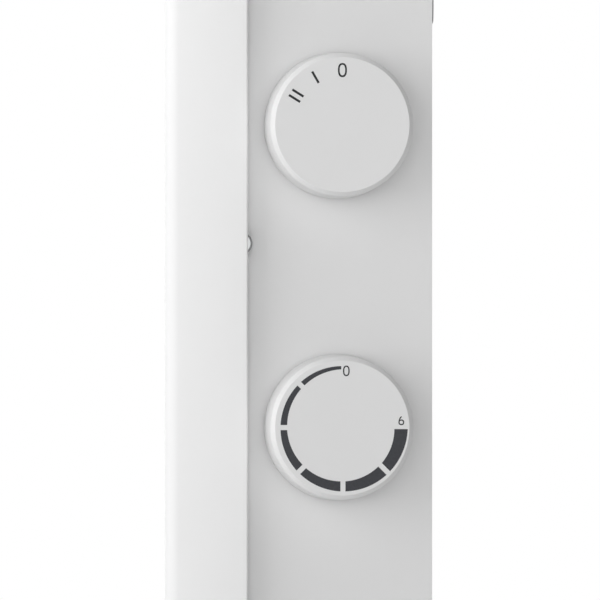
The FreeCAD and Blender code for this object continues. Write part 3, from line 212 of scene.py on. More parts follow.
def matt_body(name, colour, rough=0.55, lump=0.4 * MM, height=0.01 * MM):
    """Plain moulded or fired stuff with a fine matt skin."""
    finish, tree, shader, place = new_finish(name)
    skin = grain(tree, place, lump, detail=2.0)
    tint(tree, shader, grain(tree, place, BODY_CLOUD), colour, BODY_FADE)
    roughen(tree, shader, skin, rough - BODY_SWING, rough + BODY_SWING)
    emboss(tree, shader, skin, BODY_STRENGTH, height)
    return finish


black_plastic = matt_body("black_plastic", BLACK)
dress(["lower_element_fins", "upper_element_fins"], drawn_metal("extruded_aluminium", ALUMINIUM, rough=0.4))
dress(["lower_element_rod", "upper_element_rod"], drawn_metal("rod_sheath", SHEATH, rough=0.5))
plated_steel = drawn_metal("plated_steel", PLATED, rough=0.3, along=ALL_WAYS)
dress(["element_link", "mode_screws", "thermostat_screws", "mode_shaft", "thermostat_shaft"], plated_steel)
dress(["element_bushes"], matt_body("fired_ceramic", PORCELAIN, rough=0.7))
dress(["overheat_cutout"], black_plastic)

# Controls and wiring in the bay behind the right side panel
# Mode switch, thermostat with its copper feeler, nylon terminal block, brass earth stud and
# leads in silicone sleeves. Screws under the knobs hold the switch and the thermostat.
BRASS = (0.70, 0.52, 0.24, 1)
COPPER = (0.72, 0.38, 0.25, 1)
NYLON = (0.72, 0.70, 0.64, 1)
RED_SLEEVE = (0.36, 0.03, 0.025, 1)
EARTH_SLEEVE = (0.14, 0.32, 0.04, 1)
RUBBER = (0.028, 0.028, 0.03, 1)
SLEEVE_SKIN = {"rough": 0.6, "lump": 0.5 * MM, "height": 0.03 * MM}
LEADS = ["lead_thermostat", "lead_half_power", "lead_full_power", "lead_live", "lead_return"]
dress(["mode_switch_body", "thermostat_body", "feeler_clip", "gland_nut"], black_plastic)
brass = drawn_metal("turned_brass", BRASS, rough=0.32, along=ALL_WAYS)
dress(["mode_blades", "thermostat_blades", "terminal_screws", "earth_stud"], brass)
dress(["thermostat_feeler"], drawn_metal("copper_bulb", COPPER, rough=0.35))
dress(["terminal_block"], matt_body("nylon_block", NYLON))
rubber = matt_body("moulded_rubber", RUBBER, rough=0.72, lump=0.8 * MM, height=0.02 * MM)
dress(["grommet"], rubber)
dress(LEADS, matt_body("silicone_sleeve", RED_SLEEVE, **SLEEVE_SKIN))
dress(["lead_earth"], matt_body("earth_sleeve", EARTH_SLEEVE, **SLEEVE_SKIN))

# Front panel
# A lid pressed from one steel sheet and powder coated, with crowned flanges, a window punched for
# the air outlet, and lips on the side flanges that close the gap to the case. Brackets hold it to
# the case, with two screws from below.
PANEL_SHEET = 0.8
CROWN = 3.5
BEND = 5.0
REAR_ROUND = 0.5
FRONT_CORNER = 4.8
LIP_WIDTH, LIP_NOTCH = 5.8, 3.6
SIDE_SCREW_RISE, SIDE_SCREW_PITCH = 15.2, 150.0
WINDOW_WIDTH, WINDOW_HEIGHT, WINDOW_CORNER = 372.0, 44.0, 4.0
WINDOW_RISE = 146.0
PANEL_WHITE = (0.925, 0.925, 0.925, 1)
CORNER_STEPS, WINDOW_STEPS = 20, 8
INNER_BEND_STEPS, INNER_CROWN_STEPS, REAR_STEPS, OUTER_STEPS = 12, 10, 6, 16
# Corners nearer than the weld become one, and what lies within the slack of the front is front
WELD, FRONT_SLACK = 0.002, 0.003
PANEL_SHARP = 35
panel_low, panel_high = (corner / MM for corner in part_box("front_panel"))
panel_size = panel_high - panel_low
panel_middle = (panel_low + panel_high) / 2
panel_depth = panel_size.y


def arc_points(middle, radius, first, last, count):
    """Points along an arc, with its angles in radians."""
    turns = [first + (last - first) * index / count for index in range(count + 1)]
    return [(middle[0] + radius * math.cos(turn), middle[1] + radius * math.sin(turn)) for turn in turns]


def rim_outline():
    """The flange's section from the front's inner face round the rear edge to its outer face.

    The first number is how far outward from the rim, the second how far back from its rear edge.
    The flat front's distance from the rim comes with it.
    """
    crown_radius = (panel_depth ** 2 + CROWN ** 2) / (2 * CROWN)
    bend_reach = math.sqrt((crown_radius - BEND) ** 2 - (panel_depth - BEND) ** 2)
    crown_middle = (-crown_radius, 0)
    bend_middle = (bend_reach - crown_radius, BEND - panel_depth)
    meeting = -math.atan2(panel_depth - BEND, bend_reach)
    square = -math.pi / 2
    inner = arc_points(bend_middle, BEND - PANEL_SHEET, square, meeting, INNER_BEND_STEPS)
    inner += arc_points(crown_middle, crown_radius - PANEL_SHEET, meeting, 0, INNER_CROWN_STEPS)[1:]
    edge = arc_points((-REAR_ROUND, -REAR_ROUND), REAR_ROUND, math.pi / 2, 0, REAR_STEPS)
    outer = arc_points(crown_middle, crown_radius, -REAR_ROUND / crown_radius, meeting, OUTER_STEPS)[1:]
    outer += arc_points(bend_middle, BEND, meeting, square, OUTER_STEPS)[1:]
    return inner + edge + outer, -bend_middle[0]


def linked(name, data):
    """A new object in the scene with its data."""
    thing = bpy.data.objects.new(name, data)
    bpy.context.scene.collection.objects.link(thing)
    return thing


def section_curve(name, points, closed=False):
    """A flat line through points, for a tree to draw along a path."""
    line = bpy.data.curves.new(name, "CURVE")
    spline = line.splines.new("POLY")
    spline.use_cyclic_u = closed
    spline.points.add(len(points) - 1)
    for point, spot in zip(spline.points, points):
        point.co = (spot[0] * MM, spot[1] * MM, 0, 1)
    return linked(name, line)


def new_tree(name, sizes):
    """A geometry tree with named inputs, and the sockets that they feed."""
    tree = bpy.data.node_groups.new(name, "GeometryNodeTree")
    tree.interface.new_socket("Geometry", in_out="INPUT", socket_type="NodeSocketGeometry")
    for title, kind in sizes.items():
        tree.interface.new_socket(title, in_out="INPUT", socket_type="NodeSocket" + kind)
    tree.interface.new_socket("Geometry", in_out="OUTPUT", socket_type="NodeSocketGeometry")
    return tree, tree.nodes.new("NodeGroupInput").outputs


def welded(tree, shape):
    """A shape whose touching corners are one."""
    return first_out(tree, "GeometryNodeMergeByDistance", {"Geometry": shape, "Distance": WELD * MM})


def end_tree(tree, shape, finish, sharp):
    """Close a tree: loose copies made real, edges past an angle marked sharp, and the finish set."""
    real = first_out(tree, "GeometryNodeRealizeInstances", {"Geometry": shape})
    bend = step(tree, "GeometryNodeInputMeshEdgeAngle", {}).outputs["Unsigned Angle"]
    past = {0: bend, 1: math.radians(sharp)}
    is_sharp = first_out(tree, "FunctionNodeCompare", past, operation="GREATER_THAN")
    marks = {"Geometry": welded(tree, real), "Name": "sharp_edge", "Value": is_sharp}
    marked = first_out(tree, "GeometryNodeStoreNamedAttribute", marks, data_type="BOOLEAN", domain="EDGE")
    painted = first_out(tree, "GeometryNodeSetMaterial", {"Geometry": marked, "Material": finish})
    tree.links.new(painted, tree.nodes.new("NodeGroupOutput").inputs["Geometry"])


def settle(piece):
    """Turn a piece's modifiers into a plain mesh."""
    solved = piece.evaluated_get(bpy.context.evaluated_depsgraph_get())
    mesh = bpy.data.meshes.new_from_object(solved)
    piece.modifiers.clear()
    piece.data = mesh
    mesh.name = piece.name


def smooth_faces(piece):
    """Turn the faces outward and shade them smooth, with flat faces kept flat by their area."""
    shape = bmesh.new()
    shape.from_mesh(piece.data)
    bmesh.ops.recalc_face_normals(shape, faces=shape.faces)
    for face in shape.faces:
        face.smooth = True
    shape.to_mesh(piece.data)
    shape.free()
    weighted = piece.modifiers.new("even_normals", "WEIGHTED_NORMAL")
    weighted.keep_sharp = True
    settle(piece)


def shaped(name, tree, sizes, points=()):
    """A piece made by a geometry tree, as a plain mesh. A point has its spot and the way it faces."""
    mesh = bpy.data.meshes.new(name)
    mesh.from_pydata([spot for spot, _ in points], [], [])
    if points:
        outward = mesh.attributes.new("outward", "FLOAT_VECTOR", "POINT")
        for item, (_, way) in zip(outward.data, points):
            item.vector = way
    piece = linked(name, mesh)
    modifier = piece.modifiers.new("shape", "NODES")
    modifier.node_group = tree
    for item in tree.interface.items_tree:
        if item.in_out == "INPUT" and item.name in sizes:
            modifier[item.identifier] = sizes[item.name]
    settle(piece)
    smooth_faces(piece)
    return piece


def section_of(tree, holder):
    """The line that an input's object holds."""
    return step(tree, "GeometryNodeObjectInfo", {"Object": holder}).outputs["Geometry"]


def line_between(tree, start, end):
    """A straight line."""
    return first_out(tree, "GeometryNodeCurvePrimitiveLine", {"Start": start, "End": end})


def levelled(tree, path):
    """A path along which sections keep upright."""
    return first_out(tree, "GeometryNodeSetCurveNormal", {"Curve": path}, mode="Z_UP")


def rounded_loop(tree, width, height, corner, steps):
    """A flat rounded rectangle about the origin."""
    square = first_out(tree, "GeometryNodeCurvePrimitiveQuadrilateral", {"Width": width, "Height": height})
    rounding = {"Curve": square, "Count": steps, "Radius": corner}
    return levelled(tree, first_out(tree, "GeometryNodeFilletCurve", rounding, mode="POLY"))


def moved(tree, shape, spot=(0, 0, 0), turn=(0, 0, 0)):
    """A shape turned about the origin and moved to a spot."""
    move = {"Geometry": shape, "Translation": spot, "Rotation": turn}
    return first_out(tree, "GeometryNodeTransform", move)


def joined(tree, shapes):
    """Several shapes as one."""
    meeting = tree.nodes.new("GeometryNodeJoinGeometry")
    for shape in shapes:
        tree.links.new(shape, meeting.inputs[0])
    return meeting.outputs[0]


def filled(tree, loops):
    """A flat face inside its outer loop, with the inner loop as a hole."""
    return first_out(tree, "GeometryNodeFillCurve", {"Curve": joined(tree, loops)}, mode="NGONS")


def drawn_along(tree, path, section, caps=False):
    """A section drawn along a path, with its ends closed where asked."""
    drawing = {"Curve": path, "Profile Curve": section, "Fill Caps": caps}
    return first_out(tree, "GeometryNodeCurveToMesh", drawing)


rim_points, rim_set = rim_outline()
rim_section = section_curve("rim_section", rim_points)
rim_corner = FRONT_CORNER + rim_set
panel_tree, feed = new_tree("pressed_panel", {
    "Width": "Float", "Height": "Float", "Corner": "Float", "Window Width": "Float", "Window Height": "Float",
    "Window Corner": "Float", "Corner Steps": "Int", "Rim Section": "Object",
})
rim_path = rounded_loop(panel_tree, feed["Width"], feed["Height"], feed["Corner"], feed["Corner Steps"])
rim = drawn_along(panel_tree, rim_path, section_of(panel_tree, feed["Rim Section"]))
rim_place = first_out(panel_tree, "GeometryNodeInputPosition", {})
rim_rise = step(panel_tree, "ShaderNodeSeparateXYZ", {0: rim_place}).outputs["Z"]
front_limit = {0: rim_rise, 1: (panel_depth - FRONT_SLACK) * MM}
at_front = first_out(panel_tree, "FunctionNodeCompare", front_limit, operation="GREATER_THAN")
front_loop = first_out(panel_tree, "GeometryNodeMeshToCurve", {"Mesh": rim, "Selection": at_front})
window_loop = rounded_loop(panel_tree, feed["Window Width"], feed["Window Height"], feed["Window Corner"],
                           WINDOW_STEPS)
window_loop = moved(panel_tree, window_loop, (0, WINDOW_RISE * MM, 0))
flat = filled(panel_tree, [front_loop, window_loop])
front_face = moved(panel_tree, flat, (0, 0, panel_depth * MM))
rear_face = moved(panel_tree, flat, (0, 0, (panel_depth - PANEL_SHEET) * MM))
window_edge = line_between(panel_tree, (0, (PANEL_SHEET - panel_depth) * MM, 0), (0, -panel_depth * MM, 0))
window_wall = drawn_along(panel_tree, window_loop, window_edge)
screw_rises = [SIDE_SCREW_RISE + count * SIDE_SCREW_PITCH for count in (-1, 0, 1)]
straight_half = panel_size.z / 2 - rim_corner
lip_starts = [-straight_half] + [rise + LIP_NOTCH for rise in screw_rises]
lip_ends = [rise - LIP_NOTCH for rise in screw_rises] + [straight_half]
lips = []
for side in (-1, 1):
    for first, last in zip(lip_starts, lip_ends):
        lip_size = ((LIP_WIDTH - PANEL_SHEET / 2) * MM, (last - first) * MM, PANEL_SHEET * MM)
        lip = first_out(panel_tree, "GeometryNodeMeshCube", {"Size": lip_size})
        lip_x = side * (panel_size.x - LIP_WIDTH - PANEL_SHEET / 2) / 2
        lips.append(moved(panel_tree, lip, (lip_x * MM, (first + last) / 2 * MM, PANEL_SHEET / 2 * MM)))
panel_shape = joined(panel_tree, [rim, front_face, rear_face, window_wall] + lips)
rear_plane = Vector((panel_middle.x, panel_high.y, panel_middle.z)) * MM
upright = (math.pi / 2, 0, 0)
panel_coat = powder_coat("panel_coat", PANEL_WHITE)
end_tree(panel_tree, moved(panel_tree, panel_shape, rear_plane, upright), panel_coat, PANEL_SHARP)
front_panel = shaped("front_panel_pressing", panel_tree, {
    "Width": panel_size.x * MM, "Height": panel_size.z * MM, "Corner": rim_corner * MM,
    "Window Width": WINDOW_WIDTH * MM, "Window Height": WINDOW_HEIGHT * MM,
    "Window Corner": WINDOW_CORNER * MM, "Corner Steps": CORNER_STEPS, "Rim Section": rim_section,
})
bpy.data.objects.remove(rim_section)
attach(front_panel, "heater")
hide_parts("front_panel")

# Outlet grille
# Tilted slats between two end plates in a thin frame, of steel sheet coated like the panel.
# The frame is fixed behind the panel's window and laps its edge.
SLATS = 6
SLAT_DEPTH, SLAT_SHEET, SLAT_TILT = 10.0, 1.4, 40.0
GRILLE_LAP = 6.0
EDGE_ROUND = 0.55
EDGE_STEPS, FRAME_STEPS = 4, 6
GRILLE_PEEL = 0.6 * MM
grille_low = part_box("outlet_grille")[0] / MM
window_low = panel_middle.z + WINDOW_RISE - WINDOW_HEIGHT / 2
grille_tree, feed = new_tree("outlet_slats", {
    "Slats": "Int", "Slat Depth": "Float", "Slat Sheet": "Float", "Tilt": "Float", "Span": "Float",
    "Pitch": "Vector", "Frame Width": "Float", "Frame Height": "Float", "Hole Width": "Float",
    "Hole Height": "Float",
})
slat_section = rounded_loop(grille_tree, feed["Slat Depth"], feed["Slat Sheet"], EDGE_ROUND * MM, EDGE_STEPS)
unit_line = line_between(grille_tree, (-0.5, 0, 0), (0.5, 0, 0))
span_scale = first_out(grille_tree, "ShaderNodeCombineXYZ", {0: feed["Span"], 1: 1.0, 2: 1.0})
slat_line = first_out(grille_tree, "GeometryNodeTransform", {"Geometry": unit_line, "Scale": span_scale})
slat = drawn_along(grille_tree, levelled(grille_tree, slat_line), slat_section, caps=True)
slat_tilt = first_out(grille_tree, "ShaderNodeCombineXYZ", {0: feed["Tilt"]})
slat = moved(grille_tree, slat, (0, SLAT_DEPTH / 2 * MM, SLAT_SHEET / 2 * MM))
slat = moved(grille_tree, slat, turn=slat_tilt)
slat_spots = first_out(grille_tree, "GeometryNodeMeshLine", {"Count": feed["Slats"], "Offset": feed["Pitch"]})
slats = first_out(grille_tree, "GeometryNodeInstanceOnPoints", {"Points": slat_spots, "Instance": slat})
first_slat = Vector((0, grille_low.y + SLAT_SHEET, window_low + SLAT_SHEET)) * MM
slats = moved(grille_tree, slats, first_slat)
frame_loop, hole_loop = (
    rounded_loop(grille_tree, feed[part + " Width"], feed[part + " Height"], WINDOW_CORNER * MM, FRAME_STEPS)
    for part in ("Frame", "Hole")
)
frame_sheet = filled(grille_tree, [frame_loop, hole_loop])
frame_wall = line_between(grille_tree, (0, 0, 0), (0, -SLAT_SHEET * MM, 0))
frame_shape = joined(grille_tree, [
    frame_sheet, moved(grille_tree, frame_sheet, (0, 0, SLAT_SHEET * MM)),
    drawn_along(grille_tree, frame_loop, frame_wall), drawn_along(grille_tree, hole_loop, frame_wall),
])
frame_place = Vector((0, grille_low.y + SLAT_SHEET, panel_middle.z + WINDOW_RISE)) * MM
frame_shape = moved(grille_tree, frame_shape, frame_place, upright)
end_size = (SLAT_SHEET * MM, SLAT_DEPTH * MM, WINDOW_HEIGHT * MM)
end_plate = first_out(grille_tree, "GeometryNodeMeshCube", {"Size": end_size})
end_plates = []
for side in (-1, 1):
    end_x = side * (WINDOW_WIDTH / 2 - SLAT_SHEET / 2)
    end_spot = Vector((end_x, grille_low.y + SLAT_DEPTH / 2, window_low + WINDOW_HEIGHT / 2)) * MM
    end_plates.append(moved(grille_tree, end_plate, end_spot))
grille_coat = powder_coat("grille_coat", PANEL_WHITE, GRILLE_PEEL)
end_tree(grille_tree, joined(grille_tree, [slats, frame_shape] + end_plates), grille_coat, PANEL_SHARP)
grille = shaped("outlet_louvres", grille_tree, {
    "Slats": SLATS, "Slat Depth": SLAT_DEPTH * MM, "Slat Sheet": SLAT_SHEET * MM,
    "Tilt": math.radians(SLAT_TILT), "Span": (WINDOW_WIDTH - SLAT_SHEET) * MM,
    "Pitch": (0, 0, WINDOW_HEIGHT / SLATS * MM), "Frame Width": (WINDOW_WIDTH + 2 * GRILLE_LAP) * MM,
    "Frame Height": (WINDOW_HEIGHT + 2 * GRILLE_LAP) * MM, "Hole Width": (WINDOW_WIDTH - 2 * SLAT_SHEET) * MM,
    "Hole Height": WINDOW_HEIGHT * MM,
})
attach(grille, "heater")
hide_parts("outlet_grille")

# Screws of the side panels and of the front panel
# Zinc-plated steel, with a chamfered flat head and a cross recess. Three hold each side panel, half
# under the front panel's flange, and two come up from below into the front panel's brackets.
HEAD_RADIUS, HEAD_HEIGHT, HEAD_CHAMFER, HEAD_ROUND = 3.0, 2.4, 0.5, 0.08
SHANK_RADIUS, TIP_ROUND = 1.5, 0.4
SHANK_OF_SIDE, SHANK_OF_PANEL = 8.0, 14.0
RECESS_LENGTH, RECESS_WIDTH, RECESS_DEPTH = 3.2, 0.8, 1.2
SIDE_SCREW_SET = 2.0
PANEL_SCREW_SPREAD, PANEL_SCREW_SET = 300.0, 4.5
SCREW_GREY, SCREW_ROUGH, SCREW_GRAIN = (0.36, 0.365, 0.37, 1), 0.1, 0.3 * MM
HEAD_FACETS, SCREW_SHARP = 40, 30
ROUND_STEPS = 6
# The head is turned about a circle too small to see
AXIS_RADIUS = 0.0001


def rounded_section(points):
    """A section's points with arcs at its corners: each point has its place and its corner's radius."""
    line = []
    for index, (along, out, radius) in enumerate(points):
        here = Vector((along, out))
        if radius == 0 or index in (0, len(points) - 1):
            line.append(tuple(here))
            continue
        before = (Vector(points[index - 1][:2]) - here).normalized()
        after = (Vector(points[index + 1][:2]) - here).normalized()
        half = before.angle(after) / 2
        reach = radius / math.tan(half)
        middle = here + (before + after).normalized() * (radius / math.sin(half))
        first, last = here + before * reach - middle, here + after * reach - middle
        turn = first.angle_signed(last)
        for count in range(ROUND_STEPS + 1):
            line.append(tuple(middle + Matrix.Rotation(-turn * count / ROUND_STEPS, 2) @ first))
    return line


recess_arm = [(RECESS_LENGTH / 2, -RECESS_WIDTH / 2), (RECESS_LENGTH / 2, RECESS_WIDTH / 2),
              (RECESS_WIDTH / 2, RECESS_WIDTH / 2)]
recess_outline = []
for quarter in range(4):
    arm_turn = Matrix.Rotation(quarter * math.pi / 2, 2)
    recess_outline += [tuple(arm_turn @ Vector(corner)) for corner in recess_arm]
recess = section_curve("recess_outline", recess_outline, closed=True)
screw_tree, feed = new_tree("cross_head_screws", {"Head": "Object", "Recess": "Object", "Facets": "Int"})
axis_ring = {"Resolution": feed["Facets"], "Radius": AXIS_RADIUS * MM}
head_ring = levelled(screw_tree, first_out(screw_tree, "GeometryNodeCurvePrimitiveCircle", axis_ring))
head = welded(screw_tree, drawn_along(screw_tree, head_ring, section_of(screw_tree, feed["Head"])))
recess_ends = [(0, 0, (HEAD_HEIGHT + way * RECESS_DEPTH) * MM) for way in (-1, 1)]
recess_line = levelled(screw_tree, line_between(screw_tree, *recess_ends))
cross = drawn_along(screw_tree, recess_line, section_of(screw_tree, feed["Recess"]), caps=True)
cutting = {"Mesh 1": head, "Mesh 2": cross}
screw = first_out(screw_tree, "GeometryNodeMeshBoolean", cutting, operation="DIFFERENCE")
way_name = {"Name": "outward"}
outward = first_out(screw_tree, "GeometryNodeInputNamedAttribute", way_name, data_type="FLOAT_VECTOR")
facing = first_out(screw_tree, "FunctionNodeAlignRotationToVector", {"Vector": outward}, axis="Z")
setting = {"Points": feed["Geometry"], "Instance": screw, "Rotation": facing}
screws = first_out(screw_tree, "GeometryNodeInstanceOnPoints", setting)
screw_zinc = drawn_metal("screw_zinc", SCREW_GREY, SCREW_ROUGH, SCREW_GRAIN, ALL_WAYS)
end_tree(screw_tree, screws, screw_zinc, SCREW_SHARP)


def screw_group(name, shank, spots, stands_for):
    """Screws at spots, each with the way that its head faces, as one piece."""
    section = rounded_section([
        (0, HEAD_HEIGHT, 0), (HEAD_RADIUS - HEAD_CHAMFER, HEAD_HEIGHT, HEAD_ROUND),
        (HEAD_RADIUS, HEAD_HEIGHT - HEAD_CHAMFER, HEAD_ROUND), (HEAD_RADIUS, 0, 0),
        (SHANK_RADIUS, 0, 0), (SHANK_RADIUS, -shank, TIP_ROUND), (0, -shank, 0),
    ])
    line = section_curve(name + "_section", [(out, -up) for out, up in section])
    piece = shaped(name, screw_tree, {"Head": line, "Recess": recess, "Facets": HEAD_FACETS}, spots)
    bpy.data.objects.remove(line)
    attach(piece, "heater")
    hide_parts(stands_for)


def joint_named(name):
    """A joint of the frame by its name."""
    return next(joint for joint in frame["joints"] if joint["name"] == name)


mode_joint = joint_named("mode_turn")
outward_right = -Vector(mode_joint["axis"])
along_right = Vector((-outward_right.y, outward_right.x, 0))
rear_edge = panel_high.y * MM
knob_spot = Vector(mode_joint["pos_m"])
flange_line = knob_spot - along_right * ((knob_spot.y - rear_edge) / along_right.y)
side_spots = []
for side in (-1, 1):
    mirror = Vector((side, 1, 1))
    for rise in screw_rises:
        spot = flange_line - along_right * SIDE_SCREW_SET * MM
        spot.z = (panel_middle.z + rise) * MM
        side_spots.append((spot * mirror, outward_right * mirror))
screw_group("side_pan_heads", SHANK_OF_SIDE, side_spots, "side_screws")
panel_spots = []
for side in (-1, 1):
    spot = Vector((side * PANEL_SCREW_SPREAD / 2, panel_high.y - PANEL_SCREW_SET, panel_low.z)) * MM
    panel_spots.append((spot, Vector((0, 0, -1))))
screw_group("panel_pan_heads", SHANK_OF_PANEL, panel_spots, "panel_screws")
bpy.data.objects.remove(recess)

# Control knobs
# Two moulded caps of satin white plastic with a chamfered rim, pushed onto the shafts of
# the mode switch above and the thermostat below. Their marks are printed in dark grey.
KNOB_RADIUS, KNOB_TOP_RADIUS, KNOB_FACE_RADIUS = 19.5, 19.0, 17.9
KNOB_GAP, KNOB_HEIGHT, KNOB_CHAMFER, KNOB_WALL = 0.5, 15.0, 1.3, 1.8
BASE_ROUND, CHAMFER_ROUND, FACE_ROUND, INSIDE_ROUND = 0.25, 0.3, 0.2, 0.5
# The inner wall ends this far inside the rim's first ring
RIM_STEP = 0.01
KNOB_STEPS, TURNED_SHARP, ON_AXIS = 128, 30, 1e-6
KNOB_WHITE = (0.845, 0.845, 0.845, 1)
SKIN_SIZE, SKIN_STRENGTH, SKIN_HEIGHT = 0.18 * MM, 0.5, 0.004 * MM
KNOB_CLOUD, KNOB_FADE, KNOB_GLOSSY, KNOB_DULL = 25 * MM, 0.985, 0.36, 0.44
INK = (0.026, 0.027, 0.030, 1)
RING_INK = (0.056, 0.058, 0.066, 1)
INK_CLOUD, INK_PATCH, INK_FADE, INK_GLOSSY, INK_DULL = 0.7 * MM, 0.3 * MM, 0.85, 0.45, 0.6
INK_SHINE = 0.3
INK_HEIGHT = 0.03
MARK_RADIUS = 14.45
STROKE, BAR_STROKE = 0.47, 0.62
NOUGHT_WIDTH, NOUGHT_HEIGHT, NOUGHT_SHIFT = 2.4, 3.75, 0.01
OVAL_POWER, OVAL_STEPS = 2.4, 48
ONE_PLACE, TWO_PLACE, TWO_SPREAD, BAR_LENGTH = 119.8, 148.2, 1.7, 3.5


def new_piece(name, shape, finish):
    """An object made of a mesh under work, with its finish."""
    mesh = bpy.data.meshes.new(name)
    shape.to_mesh(mesh)
    shape.free()
    mesh.materials.append(finish)
    return linked(name, mesh)


def turned_ring(shape, height, radius, steps):
    """The corners of one ring of a turned piece, or its one corner on the axis."""
    if radius < ON_AXIS:
        return [shape.verts.new((0, 0, height * MM))]
    turns = [math.tau * count / steps for count in range(steps)]
    corners = [(radius * MM * math.cos(turn), radius * MM * math.sin(turn), height * MM) for turn in turns]
    return [shape.verts.new(corner) for corner in corners]


def lathe(name, section, seat, steps, finish):
    """A turned piece from its section of heights and radii, set up on a seat."""
    shape = bmesh.new()
    rings = [turned_ring(shape, height, radius, steps) for height, radius in section]
    for first, last in zip(rings, rings[1:] + rings[:1]):
        if len(first) == len(last) == 1:
            continue
        for count in range(steps):
            ends = [first[count % len(first)], first[(count + 1) % len(first)],
                    last[(count + 1) % len(last)], last[count % len(last)]]
            shape.faces.new(list(dict.fromkeys(ends)))
    for edge in shape.edges:
        is_sharp = len(edge.link_faces) == 2 and edge.calc_face_angle(0) > math.radians(TURNED_SHARP)
        edge.smooth = not is_sharp
    shape.transform(seat)
    piece = new_piece(name, shape, finish)
    smooth_faces(piece)
    return piece


def ink_corners(shape, outline):
    """The lower and the upper corners of an outline of ink."""
    rises = (-INK_HEIGHT * MM, INK_HEIGHT * MM)
    return [[shape.verts.new((x * MM, y * MM, rise)) for x, y in outline] for rise in rises]


def printed(name, outlines, seat, finish):
    """Flat marks of ink, each an outline of points, laid on a face."""
    shape = bmesh.new()
    for outline in outlines:
        base, top = ink_corners(shape, outline["outer"])
        neighbours = [(index, (index + 1) % len(base)) for index in range(len(base))]
        for index, after in neighbours:
            shape.faces.new((base[index], base[after], top[after], top[index]))
        if "inner" not in outline:
            shape.faces.new(top)
            shape.faces.new(base[::-1])
            continue
        low, high = ink_corners(shape, outline["inner"])
        for index, after in neighbours:
            shape.faces.new((low[after], low[index], high[index], high[after]))
            shape.faces.new((top[index], top[after], high[after], high[index]))
            shape.faces.new((base[after], base[index], low[index], low[after]))
    shape.transform(seat)
    bmesh.ops.recalc_face_normals(shape, faces=shape.faces)
    return new_piece(name, shape, finish)


def placed(points, spot, turn=0.0):
    """Points turned about the origin and moved to a spot."""
    sway, rise = math.cos(turn), math.sin(turn)
    return [(spot[0] + x * sway - y * rise, spot[1] + x * rise + y * sway) for x, y in points]


def on_ring(radius, degrees):
    """A spot at a distance from the knob's middle, along an angle."""
    return radius * math.cos(math.radians(degrees)), radius * math.sin(math.radians(degrees))


def oval(width, height):
    """A tall rounded loop, squarer than an ellipse."""
    points = []
    for count in range(OVAL_STEPS):
        turn = math.tau * count / OVAL_STEPS
        sway, rise = math.cos(turn), math.sin(turn)
        points.append((width / 2 * math.copysign(abs(sway) ** (2 / OVAL_POWER), sway),
                       height / 2 * math.copysign(abs(rise) ** (2 / OVAL_POWER), rise)))
    return points


def nought(width, height, stroke, spot):
    """A rounded ring of one stroke."""
    return {"outer": placed(oval(width, height), spot),
            "inner": placed(oval(width - 2 * stroke, height - 2 * stroke), spot)}


def bar(length, width, spot, degrees):
    """A stroke whose length points along an angle."""
    ends = [(-1, -1), (1, -1), (1, 1), (-1, 1)]
    corners = [(along * length / 2, across * width / 2) for along, across in ends]
    return {"outer": placed(corners, spot, math.radians(degrees))}


def knob_seat(joint):
    """The place on the side panel that a knob is drawn from: rearward, up and outward."""
    out = -Vector(joint["axis"])
    back = Vector((-out.y, out.x, 0))
    seat = Matrix((back, Vector((0, 0, 1)), out)).transposed().to_4x4()
    seat.translation = Vector(joint["pos_m"])
    return seat


def moulded_white(name, colour):
    """Satin moulded plastic with a very fine spark-eroded skin."""
    finish, tree, shader, place = new_finish(name)
    skin = grain(tree, place, SKIN_SIZE, detail=2.0)
    tint(tree, shader, grain(tree, place, KNOB_CLOUD), colour, KNOB_FADE)
    roughen(tree, shader, skin, KNOB_GLOSSY, KNOB_DULL)
    emboss(tree, shader, skin, SKIN_STRENGTH, SKIN_HEIGHT)
    return finish


def ink(name, colour):
    """Pad-printed ink, a little uneven."""
    finish, tree, shader, place = new_finish(name)
    tint(tree, shader, grain(tree, place, INK_CLOUD), colour, INK_FADE)
    roughen(tree, shader, grain(tree, place, INK_PATCH), INK_GLOSSY, INK_DULL)
    shader.inputs["Specular IOR Level"].default_value = INK_SHINE
    return finish


knob_plastic = moulded_white("knob_plastic", KNOB_WHITE)
mark_ink = ink("mark_ink", INK)
ring_ink = ink("ring_ink", RING_INK)
KNOB_SECTION = rounded_section([
    (KNOB_GAP, KNOB_RADIUS - KNOB_WALL, 0), (KNOB_GAP, KNOB_RADIUS, BASE_ROUND),
    (KNOB_HEIGHT - KNOB_CHAMFER, KNOB_TOP_RADIUS, CHAMFER_ROUND), (KNOB_HEIGHT, KNOB_FACE_RADIUS, FACE_ROUND),
    (KNOB_HEIGHT, 0, 0), (KNOB_HEIGHT - KNOB_WALL, 0, 0),
    (KNOB_HEIGHT - KNOB_WALL, KNOB_TOP_RADIUS - KNOB_WALL, INSIDE_ROUND),
    (KNOB_GAP, KNOB_RADIUS - KNOB_WALL - RIM_STEP, 0),
])


def knob(kind, marks):
    """One knob with its groups of marks: a name, the outlines and their ink."""
    seat = knob_seat(joint_named(kind + "_turn"))
    cap = lathe(kind + "_cap", KNOB_SECTION, seat, KNOB_STEPS, knob_plastic)
    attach(cap, kind + "_control")
    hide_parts(kind + "_knob")
    face = seat @ Matrix.Translation((0, 0, KNOB_HEIGHT * MM))
    for name, outlines, finish in marks:
        piece = printed(f"{kind}_{name}", outlines, face, finish)
        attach(piece, kind + "_control")


